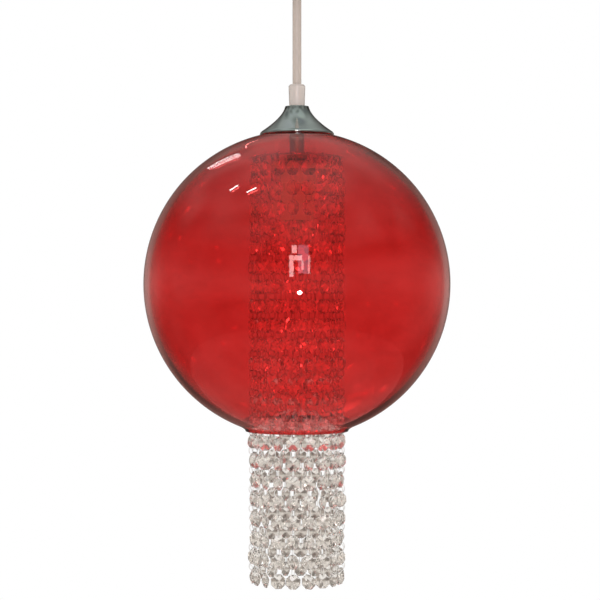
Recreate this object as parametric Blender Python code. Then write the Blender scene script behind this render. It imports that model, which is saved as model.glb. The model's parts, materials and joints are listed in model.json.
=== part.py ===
"""Pendant lamp: ceiling fitting, taut flex, and a glass globe with strands of beads hanging through it."""

from math import asin, cos, pi, radians, sin, sqrt

import bmesh
import bpy
from mathutils import Matrix, Vector

# Driving dimensions, in metres. The origin is the middle of the face that meets the ceiling, +Z is up.
GAP = 0.0003  # between pieces that touch
SIDES = 36  # of the large turned pieces
SMALL_SIDES = 16  # of the small ones
HOLE_SIDES = 8

# Ceiling fitting
CANOPY_RADIUS = 0.050
CANOPY_HEIGHT = 0.0285
CANOPY_WALL = 0.0014
CANOPY_SHADOW_GAP = 0.0006
CANOPY_ROUNDING = 0.007
BRACKET_WIDTH = 0.018
BRACKET_THICKNESS = 0.0015
BRACKET_EAR = 0.014
BRACKET_CLEARANCE = 0.002
CEILING_SCREW_SPACING = 0.052
CEILING_SCREW_RADIUS = 0.0024
SIDE_SCREW_RADIUS = 0.0018
SIDE_SCREW_LENGTH = 0.009
SIDE_SCREW_HEAD_RADIUS = 0.0042
SIDE_SCREW_HEAD_LENGTH = 0.005
SIDE_SCREW_HEAD_CHAMFER = 0.001
SIDE_SCREW_DEPTH = 0.009  # below the ceiling
BLOCK_SIZE = (0.030, 0.014, 0.011)
BLOCK_WIRE_RADIUS = 0.0019
BLOCK_WIRE_SPACING = 0.009
BLOCK_CLEARANCE = 0.0016
BLOCK_EDGE = 0.0008

# Flex and its grips
CORD_RADIUS = 0.0043
CORD_EXPOSED = 0.0854
CORD_ENTRY = 0.0012  # how far each end goes into its grip
MOUTH_CLEARANCE = 0.0006
MOUTH_DEPTH = 0.0030
GRIP_RADIUS = 0.0082
GRIP_TAPER = 0.0006
GRIP_CHAMFER = 0.0016
LAMP_GRIP_LENGTH = 0.021
CANOPY_GRIP_LENGTH = 0.015
CANOPY_NIPPLE_DEPTH = 0.0065  # how far the nipple goes into the grip
LAMP_NIPPLE_DEPTH = 0.0060
GRIP_SCREW_RADIUS = 0.0015
GRIP_SCREW_DROP = 0.0085  # below the mouth

# Threaded tubes and what they hold
NIPPLE_RADIUS = 0.0050
NIPPLE_BORE = 0.0034
NIPPLE_COLLAR_RADIUS = 0.0085
NIPPLE_COLLAR_THICKNESS = 0.0025
LEAD_RADIUS = 0.0028
NUT_ACROSS_FLATS = 0.017
NUT_THICKNESS = 0.005

# Globe and cap
GLOBE_RADIUS = 0.150
GLOBE_WALL = 0.0030
GLOBE_TOP_HOLE_RADIUS = 0.015
GLOBE_ARC_STEPS = 14
LIP_LENGTH = 0.0029  # how far the lip turns down below the sphere
LIP_BLEND = 0.0055  # from the mouth out to where the wall starts to turn down
LIP_WALL = 0.0025
CAP_BASE_RADIUS = 0.0363
CAP_TOP_RADIUS = 0.0117
CAP_HEIGHT = 0.0284
CAP_RIM_HEIGHT = 0.0025
CAP_WALL = 0.0012
CAP_FLARE_POWER = 1.62
CAP_FLARE_STEPS = 6
CAP_EDGE = 0.0008
GASKET_OUTER_RADIUS = 0.0340
GASKET_INNER_RADIUS = 0.0305
GASKET_THICKNESS = 0.0012
WASHER_RADIUS = 0.021
WASHER_THICKNESS = 0.002

# Strand plate and lampholder
PLATE_DEPTH = 0.0265  # top of the plate below the top of the globe
PLATE_THICKNESS = 0.0015
SPACER_WALL = 0.002
HOLDER_CAP_RADIUS = 0.0195
HOLDER_CAP_LENGTH = 0.018
HOLDER_WALL = 0.0022
HOLDER_SHELL_LENGTH = 0.036
HOLDER_BOSS_WALL = 0.0047
HOLDER_BOSS_LENGTH = 0.0044
HOLDER_SLOPE = 0.006
CONTACT_THICKNESS = 0.006
CONTACT_DEPTH = 0.002
BULB_CAP_RADIUS = 0.0130
BULB_CAP_LENGTH = 0.0245
BULB_CAP_TIP_RADIUS = 0.005
BULB_CAP_SLOPE = 0.004
BULB_CAP_WALL = 0.001
BULB_RADIUS = 0.0225
BULB_NECK_LENGTH = 0.008
BULB_NECK_DROP = 0.018  # from the foot of the neck to the centre of the round part
BULB_WALL = 0.001
BULB_SOCKET_CLEARANCE = 0.0012

# Strands of beads
STRANDS = 18
FIRST_STRAND_ANGLE = radians(-94.8)
STRAND_GAP = 0.00093  # between the widest points of neighbours
BEAD_WIDTH = 0.014
BEAD_THICKNESS = 0.008
MOUTH_MARGIN = 0.0010  # from the strands to the lip of the globe's mouth
PLATE_MARGIN = 0.005  # from the strands' circle to the edge of the plate
BEAD_SPACING = 0.00485  # from one bead's edge to the next one down
BEAD_HOLE_INSET = 0.0016  # from a bead's edge to the hole that a link goes through
LOWER_BEADS = 8
LINK_WIDTH = 0.0014
PLATE_HOLE_CLEARANCE = 0.0006
HANGER_HEAD_WIDTH = 0.0044
HANGER_HEAD_HEIGHT = 0.0012

# Sizes that follow from those
BEAD_PITCH = BEAD_WIDTH + BEAD_SPACING
STRAND_RADIUS = (BEAD_WIDTH + STRAND_GAP) / (2 * sin(pi / STRANDS))
PLATE_RADIUS = STRAND_RADIUS + PLATE_MARGIN
GLOBE_MOUTH_RADIUS = STRAND_RADIUS + BEAD_THICKNESS / 2 + MOUTH_MARGIN + LIP_WALL

# Places that follow, as heights below the ceiling
CANOPY_BOTTOM = -CANOPY_SHADOW_GAP - CANOPY_HEIGHT
CANOPY_GRIP_TOP = CANOPY_BOTTOM - GAP
CORD_TOP = CANOPY_GRIP_TOP - CANOPY_GRIP_LENGTH
CORD_BOTTOM = CORD_TOP - CORD_EXPOSED
LAMP_GRIP_BOTTOM = CORD_BOTTOM - LAMP_GRIP_LENGTH
CAP_TOP = LAMP_GRIP_BOTTOM - GAP
CAP_SEAT = CAP_TOP - CAP_HEIGHT
GLOBE_CENTRE = CAP_SEAT - sqrt((GLOBE_RADIUS + GAP) ** 2 - CAP_BASE_RADIUS**2)
GLOBE_INNER_RADIUS = GLOBE_RADIUS - GLOBE_WALL
GLOBE_ARC_STEP = (pi - asin(GLOBE_MOUTH_RADIUS / GLOBE_RADIUS)) / GLOBE_ARC_STEPS
CLEAR_OF_GLASS = GLOBE_INNER_RADIUS * cos(GLOBE_ARC_STEP / 2) - GAP  # inside every flat of the inner wall
GLOBE_TOP = GLOBE_CENTRE + GLOBE_RADIUS
PLATE_TOP = GLOBE_TOP - PLATE_DEPTH
PLATE_BOTTOM = PLATE_TOP - PLATE_THICKNESS
NUT_TOP = PLATE_BOTTOM - GAP
HOLDER_TOP = NUT_TOP - NUT_THICKNESS - GAP
SHELL_TOP = HOLDER_TOP - HOLDER_CAP_LENGTH - GAP
SHELL_BOTTOM = SHELL_TOP - HOLDER_SHELL_LENGTH
CONTACT_TOP = SHELL_TOP - CONTACT_DEPTH
BULB_TOP = CONTACT_TOP - CONTACT_THICKNESS - GAP
BULB_NECK_TOP = BULB_TOP - BULB_CAP_LENGTH - GAP
BULB_CENTRE = BULB_NECK_TOP - BULB_NECK_LENGTH - BULB_NECK_DROP
GLOBE_MOUTH = GLOBE_CENTRE - sqrt(GLOBE_RADIUS**2 - GLOBE_MOUTH_RADIUS**2) - LIP_LENGTH
MOUTH_LINK = GLOBE_MOUTH  # a gap between beads stands level with the lip's edge
UPPER_BEADS = int((PLATE_BOTTOM - MOUTH_LINK) / BEAD_PITCH)  # as many as fit below the plate
LAST_UPPER_BEAD = MOUTH_LINK + BEAD_PITCH / 2
STRAND_HINGE = LAST_UPPER_BEAD - BEAD_WIDTH / 2 + BEAD_HOLE_INSET
SHELL_BORE = BULB_CAP_RADIUS + BULB_SOCKET_CLEARANCE
CLEAR_OF_NIPPLE = NIPPLE_RADIUS + GAP


def finish(name, colour, roughness, metallic=0.0, transmission=0.0):
    """A Principled material, its colour in linear RGB."""
    material = bpy.data.materials.new(name)
    material.use_nodes = True
    shader = material.node_tree.nodes["Principled BSDF"]
    shader.inputs["Base Color"].default_value = (*colour, 1.0)
    shader.inputs["Roughness"].default_value = roughness
    shader.inputs["Metallic"].default_value = metallic
    shader.inputs["Transmission Weight"].default_value = transmission
    material.diffuse_color = (*colour, 1.0)
    return material


def add_object(name, mesh, material, parent=None, place=(0, 0, 0), turn=0.0):
    """An object whose place and turn about Z are in the world, kept under its parent."""
    obj = bpy.data.objects.new(name, mesh)
    bpy.context.scene.collection.objects.link(obj)
    if not mesh.materials:
        mesh.materials.append(material)
    obj.location = place
    obj.rotation_euler = (0, 0, turn)
    if parent:
        obj.parent = parent
        obj.location = Vector(place) - parent_place(parent)
    return obj


def parent_place(parent):
    """Where an unturned parent stands in the world."""
    above = parent.parent
    return Vector(parent.location) + (parent_place(above) if above else Vector())


def axis_empty(name, height, parent=None):
    """An empty on a joint's axis, which carries the pieces that move."""
    empty = bpy.data.objects.new(name, None)
    bpy.context.scene.collection.objects.link(empty)
    empty.location = (0, 0, height)
    if parent:
        empty.parent = parent
        empty.location.z -= parent_place(parent).z
    return empty


def smooth(mesh, angle=radians(35)):
    mesh.shade_smooth()
    mesh.set_sharp_from_angle(angle=angle)


def mesh_of(name, bm, is_round=True):
    """The bmesh as a clean mesh with its faces outward."""
    bmesh.ops.remove_doubles(bm, verts=bm.verts, dist=1e-6)
    bmesh.ops.recalc_face_normals(bm, faces=bm.faces)
    mesh = bpy.data.meshes.new(name)
    bm.to_mesh(mesh)
    bm.free()
    if is_round:
        smooth(mesh)
    return mesh


def turned_mesh(name, outline, sides):
    """An outline of (radius, height) points spun about Z: closed on itself, or ended on the axis."""
    bm = bmesh.new()
    points = [bm.verts.new((radius, 0, height)) for radius, height in outline]
    edges = [bm.edges.new(pair) for pair in zip(points, points[1:])]
    if outline[0][0] > 0 or outline[-1][0] > 0:
        edges.append(bm.edges.new((points[-1], points[0])))
    bmesh.ops.spin(
        bm, geom=points + edges, cent=(0, 0, 0), axis=(0, 0, 1), angle=2 * pi, steps=sides, use_merge=True
    )
    return mesh_of(name, bm)


def turned(name, outline, material, parent=None, sides=SMALL_SIDES):
    """A turned piece whose outline is in world heights."""
    origin = parent_place(parent).z if parent else 0.0
    local = [(radius, height - origin) for radius, height in outline]
    return add_object(name, turned_mesh(name, local, sides), material, parent, (0, 0, origin))


def ring(inner, outer, low, high):
    return [(inner, low), (outer, low), (outer, high), (inner, high)]


def arc(centre, radius, start, end, steps):
    """Points on a circle in the (radius, height) plane, its angles measured from straight up."""
    angles = [start + (end - start) * i / steps for i in range(steps + 1)]
    return [(centre[0] + radius * sin(a), centre[1] + radius * cos(a)) for a in angles]


def box_mesh(name, size, centre=(0, 0, 0)):
    bm = bmesh.new()
    bmesh.ops.create_cube(bm, size=1)
    bmesh.ops.scale(bm, vec=size, verts=bm.verts)
    bmesh.ops.translate(bm, vec=centre, verts=bm.verts)
    return mesh_of(name, bm, is_round=False)


def cylinder_into(bm, radius, length, centre, axis):
    """Adds a cylinder to bm, centred on a point and lying along an axis."""
    turn = Vector((0, 0, 1)).rotation_difference(Vector(axis)).to_matrix().to_4x4()
    bmesh.ops.create_cone(
        bm,
        cap_ends=True,
        segments=HOLE_SIDES,
        radius1=radius,
        radius2=radius,
        depth=length,
        matrix=Matrix.Translation(centre) @ turn,
    )


def cut_with(obj, cylinders):
    """Cuts separate cylinders, each (radius, length, centre, axis), out of an object."""
    bm = bmesh.new()
    for radius, length, centre, axis in cylinders:
        cylinder_into(bm, radius, length, centre, axis)
    cutter = add_object(obj.name + "_cutter", mesh_of(obj.name + "_cutter", bm), None)
    cutter.hide_render = True
    cutter.display_type = "WIRE"
    cut = obj.modifiers.new("Holes", "BOOLEAN")
    cut.object = cutter
    cut.solver = "EXACT"
    cutter.location = obj.location if obj.parent is None else parent_place(obj.parent)


def make_bracket(material):
    """A flat strap with both ends turned down inside the canopy."""
    half = CANOPY_RADIUS - CANOPY_WALL - BRACKET_CLEARANCE
    inner = half - BRACKET_THICKNESS
    outline = [
        (-half, 0),
        (half, 0),
        (half, -BRACKET_EAR),
        (inner, -BRACKET_EAR),
        (inner, -BRACKET_THICKNESS),
        (-inner, -BRACKET_THICKNESS),
        (-inner, -BRACKET_EAR),
        (-half, -BRACKET_EAR),
    ]
    bm = bmesh.new()
    face = bm.faces.new([bm.verts.new((x, -BRACKET_WIDTH / 2, z)) for x, z in outline])
    swept = bmesh.ops.extrude_face_region(bm, geom=[face])
    moved = [item for item in swept["geom"] if isinstance(item, bmesh.types.BMVert)]
    bmesh.ops.translate(bm, vec=(0, BRACKET_WIDTH, 0), verts=moved)
    bracket = add_object("ceiling_bracket", mesh_of("ceiling_bracket", bm, False), material)
    side = SIDE_SCREW_RADIUS + GAP
    cylinders = [(side, 2.2 * half, (0, 0, -SIDE_SCREW_DEPTH), (1, 0, 0))]
    for x in (-CEILING_SCREW_SPACING / 2, CEILING_SCREW_SPACING / 2):
        cylinders.append((CEILING_SCREW_RADIUS, 4 * BRACKET_THICKNESS, (x, 0, 0), (0, 0, 1)))
    cut_with(bracket, cylinders)


def make_canopy(material):
    """A spun cup, open to the ceiling, with a hole for the nipple and one each side for the screws."""
    top = -CANOPY_SHADOW_GAP
    outer = CANOPY_RADIUS
    inner = outer - CANOPY_WALL
    floor = CANOPY_BOTTOM + CANOPY_WALL
    bend = (outer - CANOPY_ROUNDING, CANOPY_BOTTOM + CANOPY_ROUNDING)
    outline = [(CLEAR_OF_NIPPLE, CANOPY_BOTTOM)]
    outline += arc(bend, CANOPY_ROUNDING, pi, pi / 2, 3)
    outline += [(outer, top), (inner, top)]
    outline += arc(bend, CANOPY_ROUNDING - CANOPY_WALL, pi / 2, pi, 3)
    outline.append((CLEAR_OF_NIPPLE, floor))
    canopy = turned("ceiling_canopy", outline, material, sides=SIDES)
    cut_with(canopy, [(SIDE_SCREW_RADIUS + GAP, 3 * outer, (0, 0, -SIDE_SCREW_DEPTH), (1, 0, 0))])


def make_side_screw(name, side, material):
    """A knurled screw whose shank goes through the canopy's wall into the bracket's ear."""
    head = CANOPY_RADIUS + GAP
    outline = [
        (0, head - SIDE_SCREW_LENGTH),
        (SIDE_SCREW_RADIUS, head - SIDE_SCREW_LENGTH),
        (SIDE_SCREW_RADIUS, head),
        (SIDE_SCREW_HEAD_RADIUS, head),
        (SIDE_SCREW_HEAD_RADIUS, head + SIDE_SCREW_HEAD_LENGTH - SIDE_SCREW_HEAD_CHAMFER),
        (SIDE_SCREW_HEAD_RADIUS - SIDE_SCREW_HEAD_CHAMFER, head + SIDE_SCREW_HEAD_LENGTH),
        (0, head + SIDE_SCREW_HEAD_LENGTH),
    ]
    screw = add_object(name, turned_mesh(name, outline, 12), material, None, (0, 0, -SIDE_SCREW_DEPTH))
    screw.rotation_euler = (0, side * pi / 2, 0)


def make_terminal_block(material):
    """Three insulated terminals side by side, above the nipple's collar."""
    high = CANOPY_BOTTOM + CANOPY_WALL + NIPPLE_COLLAR_THICKNESS + BLOCK_CLEARANCE + BLOCK_SIZE[2] / 2
    mesh = box_mesh("terminal_block", BLOCK_SIZE)
    block = add_object("terminal_block", mesh, material, None, (0, 0, high))
    soften = block.modifiers.new("Edges", "BEVEL")
    soften.width = BLOCK_EDGE
    soften.segments = 1
    across = (-BLOCK_WIRE_SPACING, 0, BLOCK_WIRE_SPACING)
    cut_with(block, [(BLOCK_WIRE_RADIUS, 2 * BLOCK_SIZE[1], (x, 0, 0), (0, 1, 0)) for x in across])


def make_canopy_nipple(material):
    """A hollow bolt: its collar stands on the canopy's floor and its thread holds the grip."""
    collar = CANOPY_BOTTOM + CANOPY_WALL + GAP
    low = CANOPY_GRIP_TOP - CANOPY_NIPPLE_DEPTH
    outline = [
        (NIPPLE_BORE, low),
        (NIPPLE_RADIUS, low),
        (NIPPLE_RADIUS, collar),
        (NIPPLE_COLLAR_RADIUS, collar),
        (NIPPLE_COLLAR_RADIUS, collar + NIPPLE_COLLAR_THICKNESS),
        (NIPPLE_BORE, collar + NIPPLE_COLLAR_THICKNESS),
    ]
    turned("canopy_nipple", outline, material)


def grip_outline(mouth, far, nipple_depth):
    """A grip's half section, from the mouth that the cord enters to the far end that screws on a nipple."""
    way = 1 if far > mouth else -1
    jacket = CORD_RADIUS + GAP
    bore = mouth + way * MOUTH_DEPTH
    thread = far - way * (nipple_depth + 2 * GAP)
    entry = CORD_RADIUS + MOUTH_CLEARANCE
    return [
        (entry, mouth),
        (GRIP_RADIUS - GRIP_CHAMFER, mouth),
        (GRIP_RADIUS, mouth + way * GRIP_CHAMFER),
        (GRIP_RADIUS - GRIP_TAPER, far),
        (CLEAR_OF_NIPPLE, far),
        (CLEAR_OF_NIPPLE, thread),
        (jacket, thread),
        (jacket, bore),
        (entry, bore),
    ]


def make_lamp_grip(material, screw_material, parent):
    """The lower grip, with a screw in its side that holds the flex."""
    outline = grip_outline(CORD_BOTTOM, LAMP_GRIP_BOTTOM, LAMP_NIPPLE_DEPTH)
    grip = turned("cord_grip", outline, material, parent)
    cut_with(grip, [(GRIP_SCREW_RADIUS + GAP, GRIP_RADIUS, (0, GRIP_RADIUS, -GRIP_SCREW_DROP), (0, 1, 0))])
    near = CORD_RADIUS + 2 * GAP
    outline = [
        (0, near),
        (GRIP_SCREW_RADIUS, near),
        (GRIP_SCREW_RADIUS, GRIP_RADIUS),
        (0, GRIP_RADIUS),
    ]
    mesh = turned_mesh("grip_screw", outline, 10)
    screw = add_object("grip_screw", mesh, screw_material, parent, (0, 0, CORD_BOTTOM - GRIP_SCREW_DROP))
    screw.rotation_euler = (-pi / 2, 0, 0)


def make_cord(material, parent):
    """The taut flex, a straight tube between the two grips."""
    top = CORD_TOP + CORD_ENTRY
    bottom = CORD_BOTTOM - CORD_ENTRY
    count = 6
    curve = bpy.data.curves.new("pendant_cord", "CURVE")
    curve.dimensions = "3D"
    curve.bevel_depth = CORD_RADIUS
    curve.bevel_resolution = 3
    curve.use_fill_caps = True
    line = curve.splines.new("POLY")
    line.points.add(count - 1)
    for i, point in enumerate(line.points):
        height = top + (bottom - top) * i / (count - 1)
        point.co = (0, 0, height - CORD_TOP, 1)
    curve.materials.append(material)
    cord = bpy.data.objects.new("pendant_cord", curve)
    bpy.context.scene.collection.objects.link(cord)
    cord.parent = parent


def cap_radius(height):
    """The trumpet's radius at a height above its seat."""
    along = max(0.0, (height - CAP_RIM_HEIGHT) / (CAP_HEIGHT - CAP_RIM_HEIGHT))
    return CAP_TOP_RADIUS + (CAP_BASE_RADIUS - CAP_TOP_RADIUS) * (1 - along) ** CAP_FLARE_POWER


def make_cap(material, parent):
    """A spun trumpet, open below, that stands on the globe."""
    flare = CAP_HEIGHT - CAP_EDGE - CAP_RIM_HEIGHT
    heights = [CAP_RIM_HEIGHT + flare * i / CAP_FLARE_STEPS for i in range(CAP_FLARE_STEPS + 1)]
    outer = [(cap_radius(h), CAP_SEAT + h) for h in heights]
    inner = [(r - CAP_WALL, z) for r, z in outer]
    inner[-1] = (inner[-1][0], CAP_TOP - CAP_WALL)
    outline = [(CAP_BASE_RADIUS, CAP_SEAT)] + outer
    outline += [(CAP_TOP_RADIUS - CAP_EDGE, CAP_TOP), (CLEAR_OF_NIPPLE, CAP_TOP)]
    outline += [(CLEAR_OF_NIPPLE, CAP_TOP - CAP_WALL)] + inner[::-1]
    foot = CAP_BASE_RADIUS - CAP_WALL
    outline.append((foot, on_sphere(GLOBE_RADIUS + GAP, foot)))
    turned("cap", outline, material, parent, SIDES)


def on_sphere(radius, out):
    """The height of a sphere about the globe's centre, this far out from the axis."""
    return GLOBE_CENTRE + sqrt(radius**2 - out**2)


def make_gasket(material, parent):
    """A ring between the glass and the cap, hidden behind the cap's rim."""
    low = GLOBE_RADIUS + GAP
    high = low + GASKET_THICKNESS
    outline = [
        (GASKET_INNER_RADIUS, on_sphere(low, GASKET_INNER_RADIUS)),
        (GASKET_OUTER_RADIUS, on_sphere(low, GASKET_OUTER_RADIUS)),
        (GASKET_OUTER_RADIUS, on_sphere(high, GASKET_OUTER_RADIUS)),
        (GASKET_INNER_RADIUS, on_sphere(high, GASKET_INNER_RADIUS)),
    ]
    turned("cap_gasket", outline, material, parent, SIDES)


def make_globe(material, parent):
    """A blown glass shell with a small hole above and a wide mouth with a short lip below."""
    centre = (0, GLOBE_CENTRE)
    outline = []
    for radius, mouth, reverse in (
        (GLOBE_RADIUS, GLOBE_MOUTH_RADIUS, False),
        (GLOBE_INNER_RADIUS, GLOBE_MOUTH_RADIUS - LIP_WALL, True),
    ):
        start = asin(GLOBE_TOP_HOLE_RADIUS / radius)
        end = pi - asin((mouth + LIP_BLEND) / radius)
        bend = mouth + LIP_BLEND / 4
        bend_height = GLOBE_CENTRE - sqrt(radius**2 - bend**2) - 0.4 * LIP_LENGTH
        points = arc(centre, radius, start, end, GLOBE_ARC_STEPS) + [(bend, bend_height), (mouth, GLOBE_MOUTH)]
        outline += points[::-1] if reverse else points
    turned("globe", outline, material, parent, SIDES)


def make_clamp(metal, parent):
    """The washer, spacer and nut that clamp the globe and the plate between them on the nipple."""
    washer_top = on_sphere(CLEAR_OF_GLASS, WASHER_RADIUS)
    washer_bottom = washer_top - WASHER_THICKNESS
    turned("globe_washer", ring(CLEAR_OF_NIPPLE, WASHER_RADIUS, washer_bottom, washer_top), metal, parent)
    spacer = ring(CLEAR_OF_NIPPLE, CLEAR_OF_NIPPLE + SPACER_WALL, PLATE_TOP + GAP, washer_bottom - GAP)
    turned("spacer_tube", spacer, metal, parent)
    corner = cos(pi / 6)
    hexagon = ring(CLEAR_OF_NIPPLE / corner, NUT_ACROSS_FLATS / 2 / corner, NUT_TOP - NUT_THICKNESS, NUT_TOP)
    turned("lock_nut", hexagon, metal, parent, 6)


def make_nipple(material, parent):
    """The threaded tube from inside the grip down to the lampholder."""
    top = LAMP_GRIP_BOTTOM + LAMP_NIPPLE_DEPTH
    bottom = HOLDER_TOP - HOLDER_BOSS_LENGTH
    turned("threaded_nipple", ring(NIPPLE_BORE, NIPPLE_RADIUS, bottom, top), material, parent)


def make_lead(material, parent):
    """The flex inside the lamp: its jacket in the grip, then its cores down to the lampholder."""
    top = CORD_BOTTOM - MOUTH_DEPTH
    stripped = LAMP_GRIP_BOTTOM + LAMP_NIPPLE_DEPTH + 3 * GAP
    bottom = CONTACT_TOP + GAP
    outline = [
        (0, top),
        (CORD_RADIUS, top),
        (CORD_RADIUS, stripped),
        (LEAD_RADIUS, stripped),
        (LEAD_RADIUS, bottom),
        (0, bottom),
    ]
    turned("lampholder_lead", outline, material, parent)


def make_plate(material, parent):
    """The disc that the strands hang from, with a hole for each."""
    outline = ring(CLEAR_OF_NIPPLE, PLATE_RADIUS, PLATE_BOTTOM, PLATE_TOP)
    plate = turned("strand_plate", outline, material, parent, SIDES)
    hole = LINK_WIDTH / 2 + PLATE_HOLE_CLEARANCE
    middle = (PLATE_TOP + PLATE_BOTTOM) / 2 - parent_place(parent).z
    cylinders = []
    for i in range(STRANDS):
        a = strand_angle(i)
        centre = (STRAND_RADIUS * cos(a), STRAND_RADIUS * sin(a), middle)
        cylinders.append((hole, 4 * PLATE_THICKNESS, centre, (0, 0, 1)))
    cut_with(plate, cylinders)


def make_lampholder(plastic, ceramic, parent):
    """A cap screwed on the nipple, the insert with its contacts, and the shell that the bulb screws into."""
    cap_bottom = HOLDER_TOP - HOLDER_CAP_LENGTH
    boss = CLEAR_OF_NIPPLE + HOLDER_BOSS_WALL
    shoulder = HOLDER_TOP - HOLDER_SLOPE
    inner = HOLDER_CAP_RADIUS - HOLDER_WALL
    outline = [
        (CLEAR_OF_NIPPLE, HOLDER_TOP),
        (boss, HOLDER_TOP),
        (HOLDER_CAP_RADIUS, shoulder),
        (HOLDER_CAP_RADIUS, cap_bottom),
        (inner, cap_bottom),
        (inner, shoulder - HOLDER_WALL),
        (boss, HOLDER_TOP - HOLDER_BOSS_LENGTH),
        (CLEAR_OF_NIPPLE, HOLDER_TOP - HOLDER_BOSS_LENGTH),
    ]
    turned("lampholder_cap", outline, plastic, parent)
    turned("lampholder_shell", ring(SHELL_BORE, HOLDER_CAP_RADIUS, SHELL_BOTTOM, SHELL_TOP), plastic, parent)
    low = CONTACT_TOP - CONTACT_THICKNESS
    insert = SHELL_BORE - GAP
    outline = [(0, low), (insert, low), (insert, CONTACT_TOP), (0, CONTACT_TOP)]
    turned("lampholder_contact", outline, ceramic, parent)


def make_bulb(glass, metal, parent):
    """A screw cap and a round bulb, open where the cap closes it."""
    bottom = BULB_TOP - BULB_CAP_LENGTH
    inner = BULB_CAP_RADIUS - BULB_CAP_WALL
    outline = [
        (0, BULB_TOP),
        (BULB_CAP_TIP_RADIUS, BULB_TOP),
        (BULB_CAP_RADIUS, BULB_TOP - BULB_CAP_SLOPE),
        (BULB_CAP_RADIUS, bottom),
        (inner, bottom),
        (inner, BULB_TOP - BULB_CAP_SLOPE - BULB_CAP_WALL),
        (0, BULB_TOP - BULB_CAP_SLOPE - BULB_CAP_WALL),
    ]
    turned("bulb_screw_cap", outline, metal, parent)
    neck = inner
    outline = []
    for wall, reverse in ((0.0, False), (BULB_WALL, True)):
        radius = BULB_RADIUS - wall
        start = asin((neck - wall) / radius)
        points = [(neck - wall, BULB_NECK_TOP)] + arc((0, BULB_CENTRE), radius, start, pi, 7)
        points[-1] = (0, points[-1][1])
        outline += points[::-1] if reverse else points
    turned("bulb_glass", outline_from_axis(outline), glass, parent)


def outline_from_axis(outline):
    """The same closed outline, started at its inner point on the axis and ended at its outer one."""
    first = next(i for i, point in enumerate(outline) if point[0] == 0)
    return outline[first + 1 :] + outline[: first + 1]


def strand_angle(i):
    return FIRST_STRAND_ANGLE + i * 2 * pi / STRANDS


def section(bm, half_width, half_thickness, height):
    """One diamond-shaped section of a strand: local X points away from the lamp's axis."""
    return [
        bm.verts.new(point)
        for point in (
            (half_thickness, 0, height),
            (0, half_width, height),
            (-half_thickness, 0, height),
            (0, -half_width, height),
        )
    ]


def loft(name, levels):
    """A closed strand from sections, each (half width, half thickness, height), top to bottom."""
    bm = bmesh.new()
    rows = [section(bm, *level) for level in levels]
    bm.faces.new(rows[0])
    bm.faces.new(rows[-1][::-1])
    for upper, lower in zip(rows, rows[1:]):
        for k in range(4):
            after = (k + 1) % 4
            bm.faces.new((upper[k], upper[after], lower[after], lower[k]))
    return mesh_of(name, bm, is_round=False)


def bead_levels(first_centre, count):
    """Sections through count beads, and through the links between them."""
    shoulder = BEAD_WIDTH / 2 * (sqrt(2) - 1)
    wide = (BEAD_WIDTH / 2, BEAD_THICKNESS / 2)
    link = (LINK_WIDTH / 2, LINK_WIDTH / 2)
    levels = []
    for i in range(count):
        centre = first_centre - i * BEAD_PITCH
        if i > 0:
            levels.append((*link, centre + BEAD_PITCH / 2))
        levels += [(*wide, centre + shoulder), (*wide, centre - shoulder)]
    return levels


def end_of_bead(centre, way):
    """The small flat at a bead's top or bottom."""
    return (BEAD_WIDTH / 2 * (sqrt(2) - 1), BEAD_THICKNESS / 6, centre + way * BEAD_WIDTH / 2)


def make_strands(material, parent):
    """Each strand in two pieces, hinged at the lower hole of its last bead inside the globe."""
    first_upper = LAST_UPPER_BEAD + (UPPER_BEADS - 1) * BEAD_PITCH
    link = LINK_WIDTH / 2
    head = HANGER_HEAD_WIDTH / 2
    head_bottom = PLATE_TOP + GAP
    upper = [
        (head, head, head_bottom + HANGER_HEAD_HEIGHT),
        (head, head, head_bottom),
        (link, link, head_bottom - GAP / 2),
        (link, link, first_upper + BEAD_PITCH / 2),
    ]
    upper += bead_levels(first_upper, UPPER_BEADS) + [end_of_bead(LAST_UPPER_BEAD, -1)]
    upper_mesh = loft("strand_upper", [(w, t, z - STRAND_HINGE) for w, t, z in upper])
    first_lower = MOUTH_LINK - BEAD_PITCH / 2
    lower = [(link, link, MOUTH_LINK)] + bead_levels(first_lower, LOWER_BEADS)
    lower.append(end_of_bead(first_lower - (LOWER_BEADS - 1) * BEAD_PITCH, -1))
    lower_mesh = loft("strand_lower", [(w, t, z - STRAND_HINGE) for w, t, z in lower])
    for i in range(STRANDS):
        a = strand_angle(i)
        place = (STRAND_RADIUS * cos(a), STRAND_RADIUS * sin(a), STRAND_HINGE)
        add_object(f"strand_{i + 1:02d}_upper", upper_mesh, material, parent, place, a)
        add_object(f"strand_{i + 1:02d}_lower", lower_mesh, material, parent, place, a)


def clear_scene():
    for obj in list(bpy.data.objects):
        bpy.data.objects.remove(obj)


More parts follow.
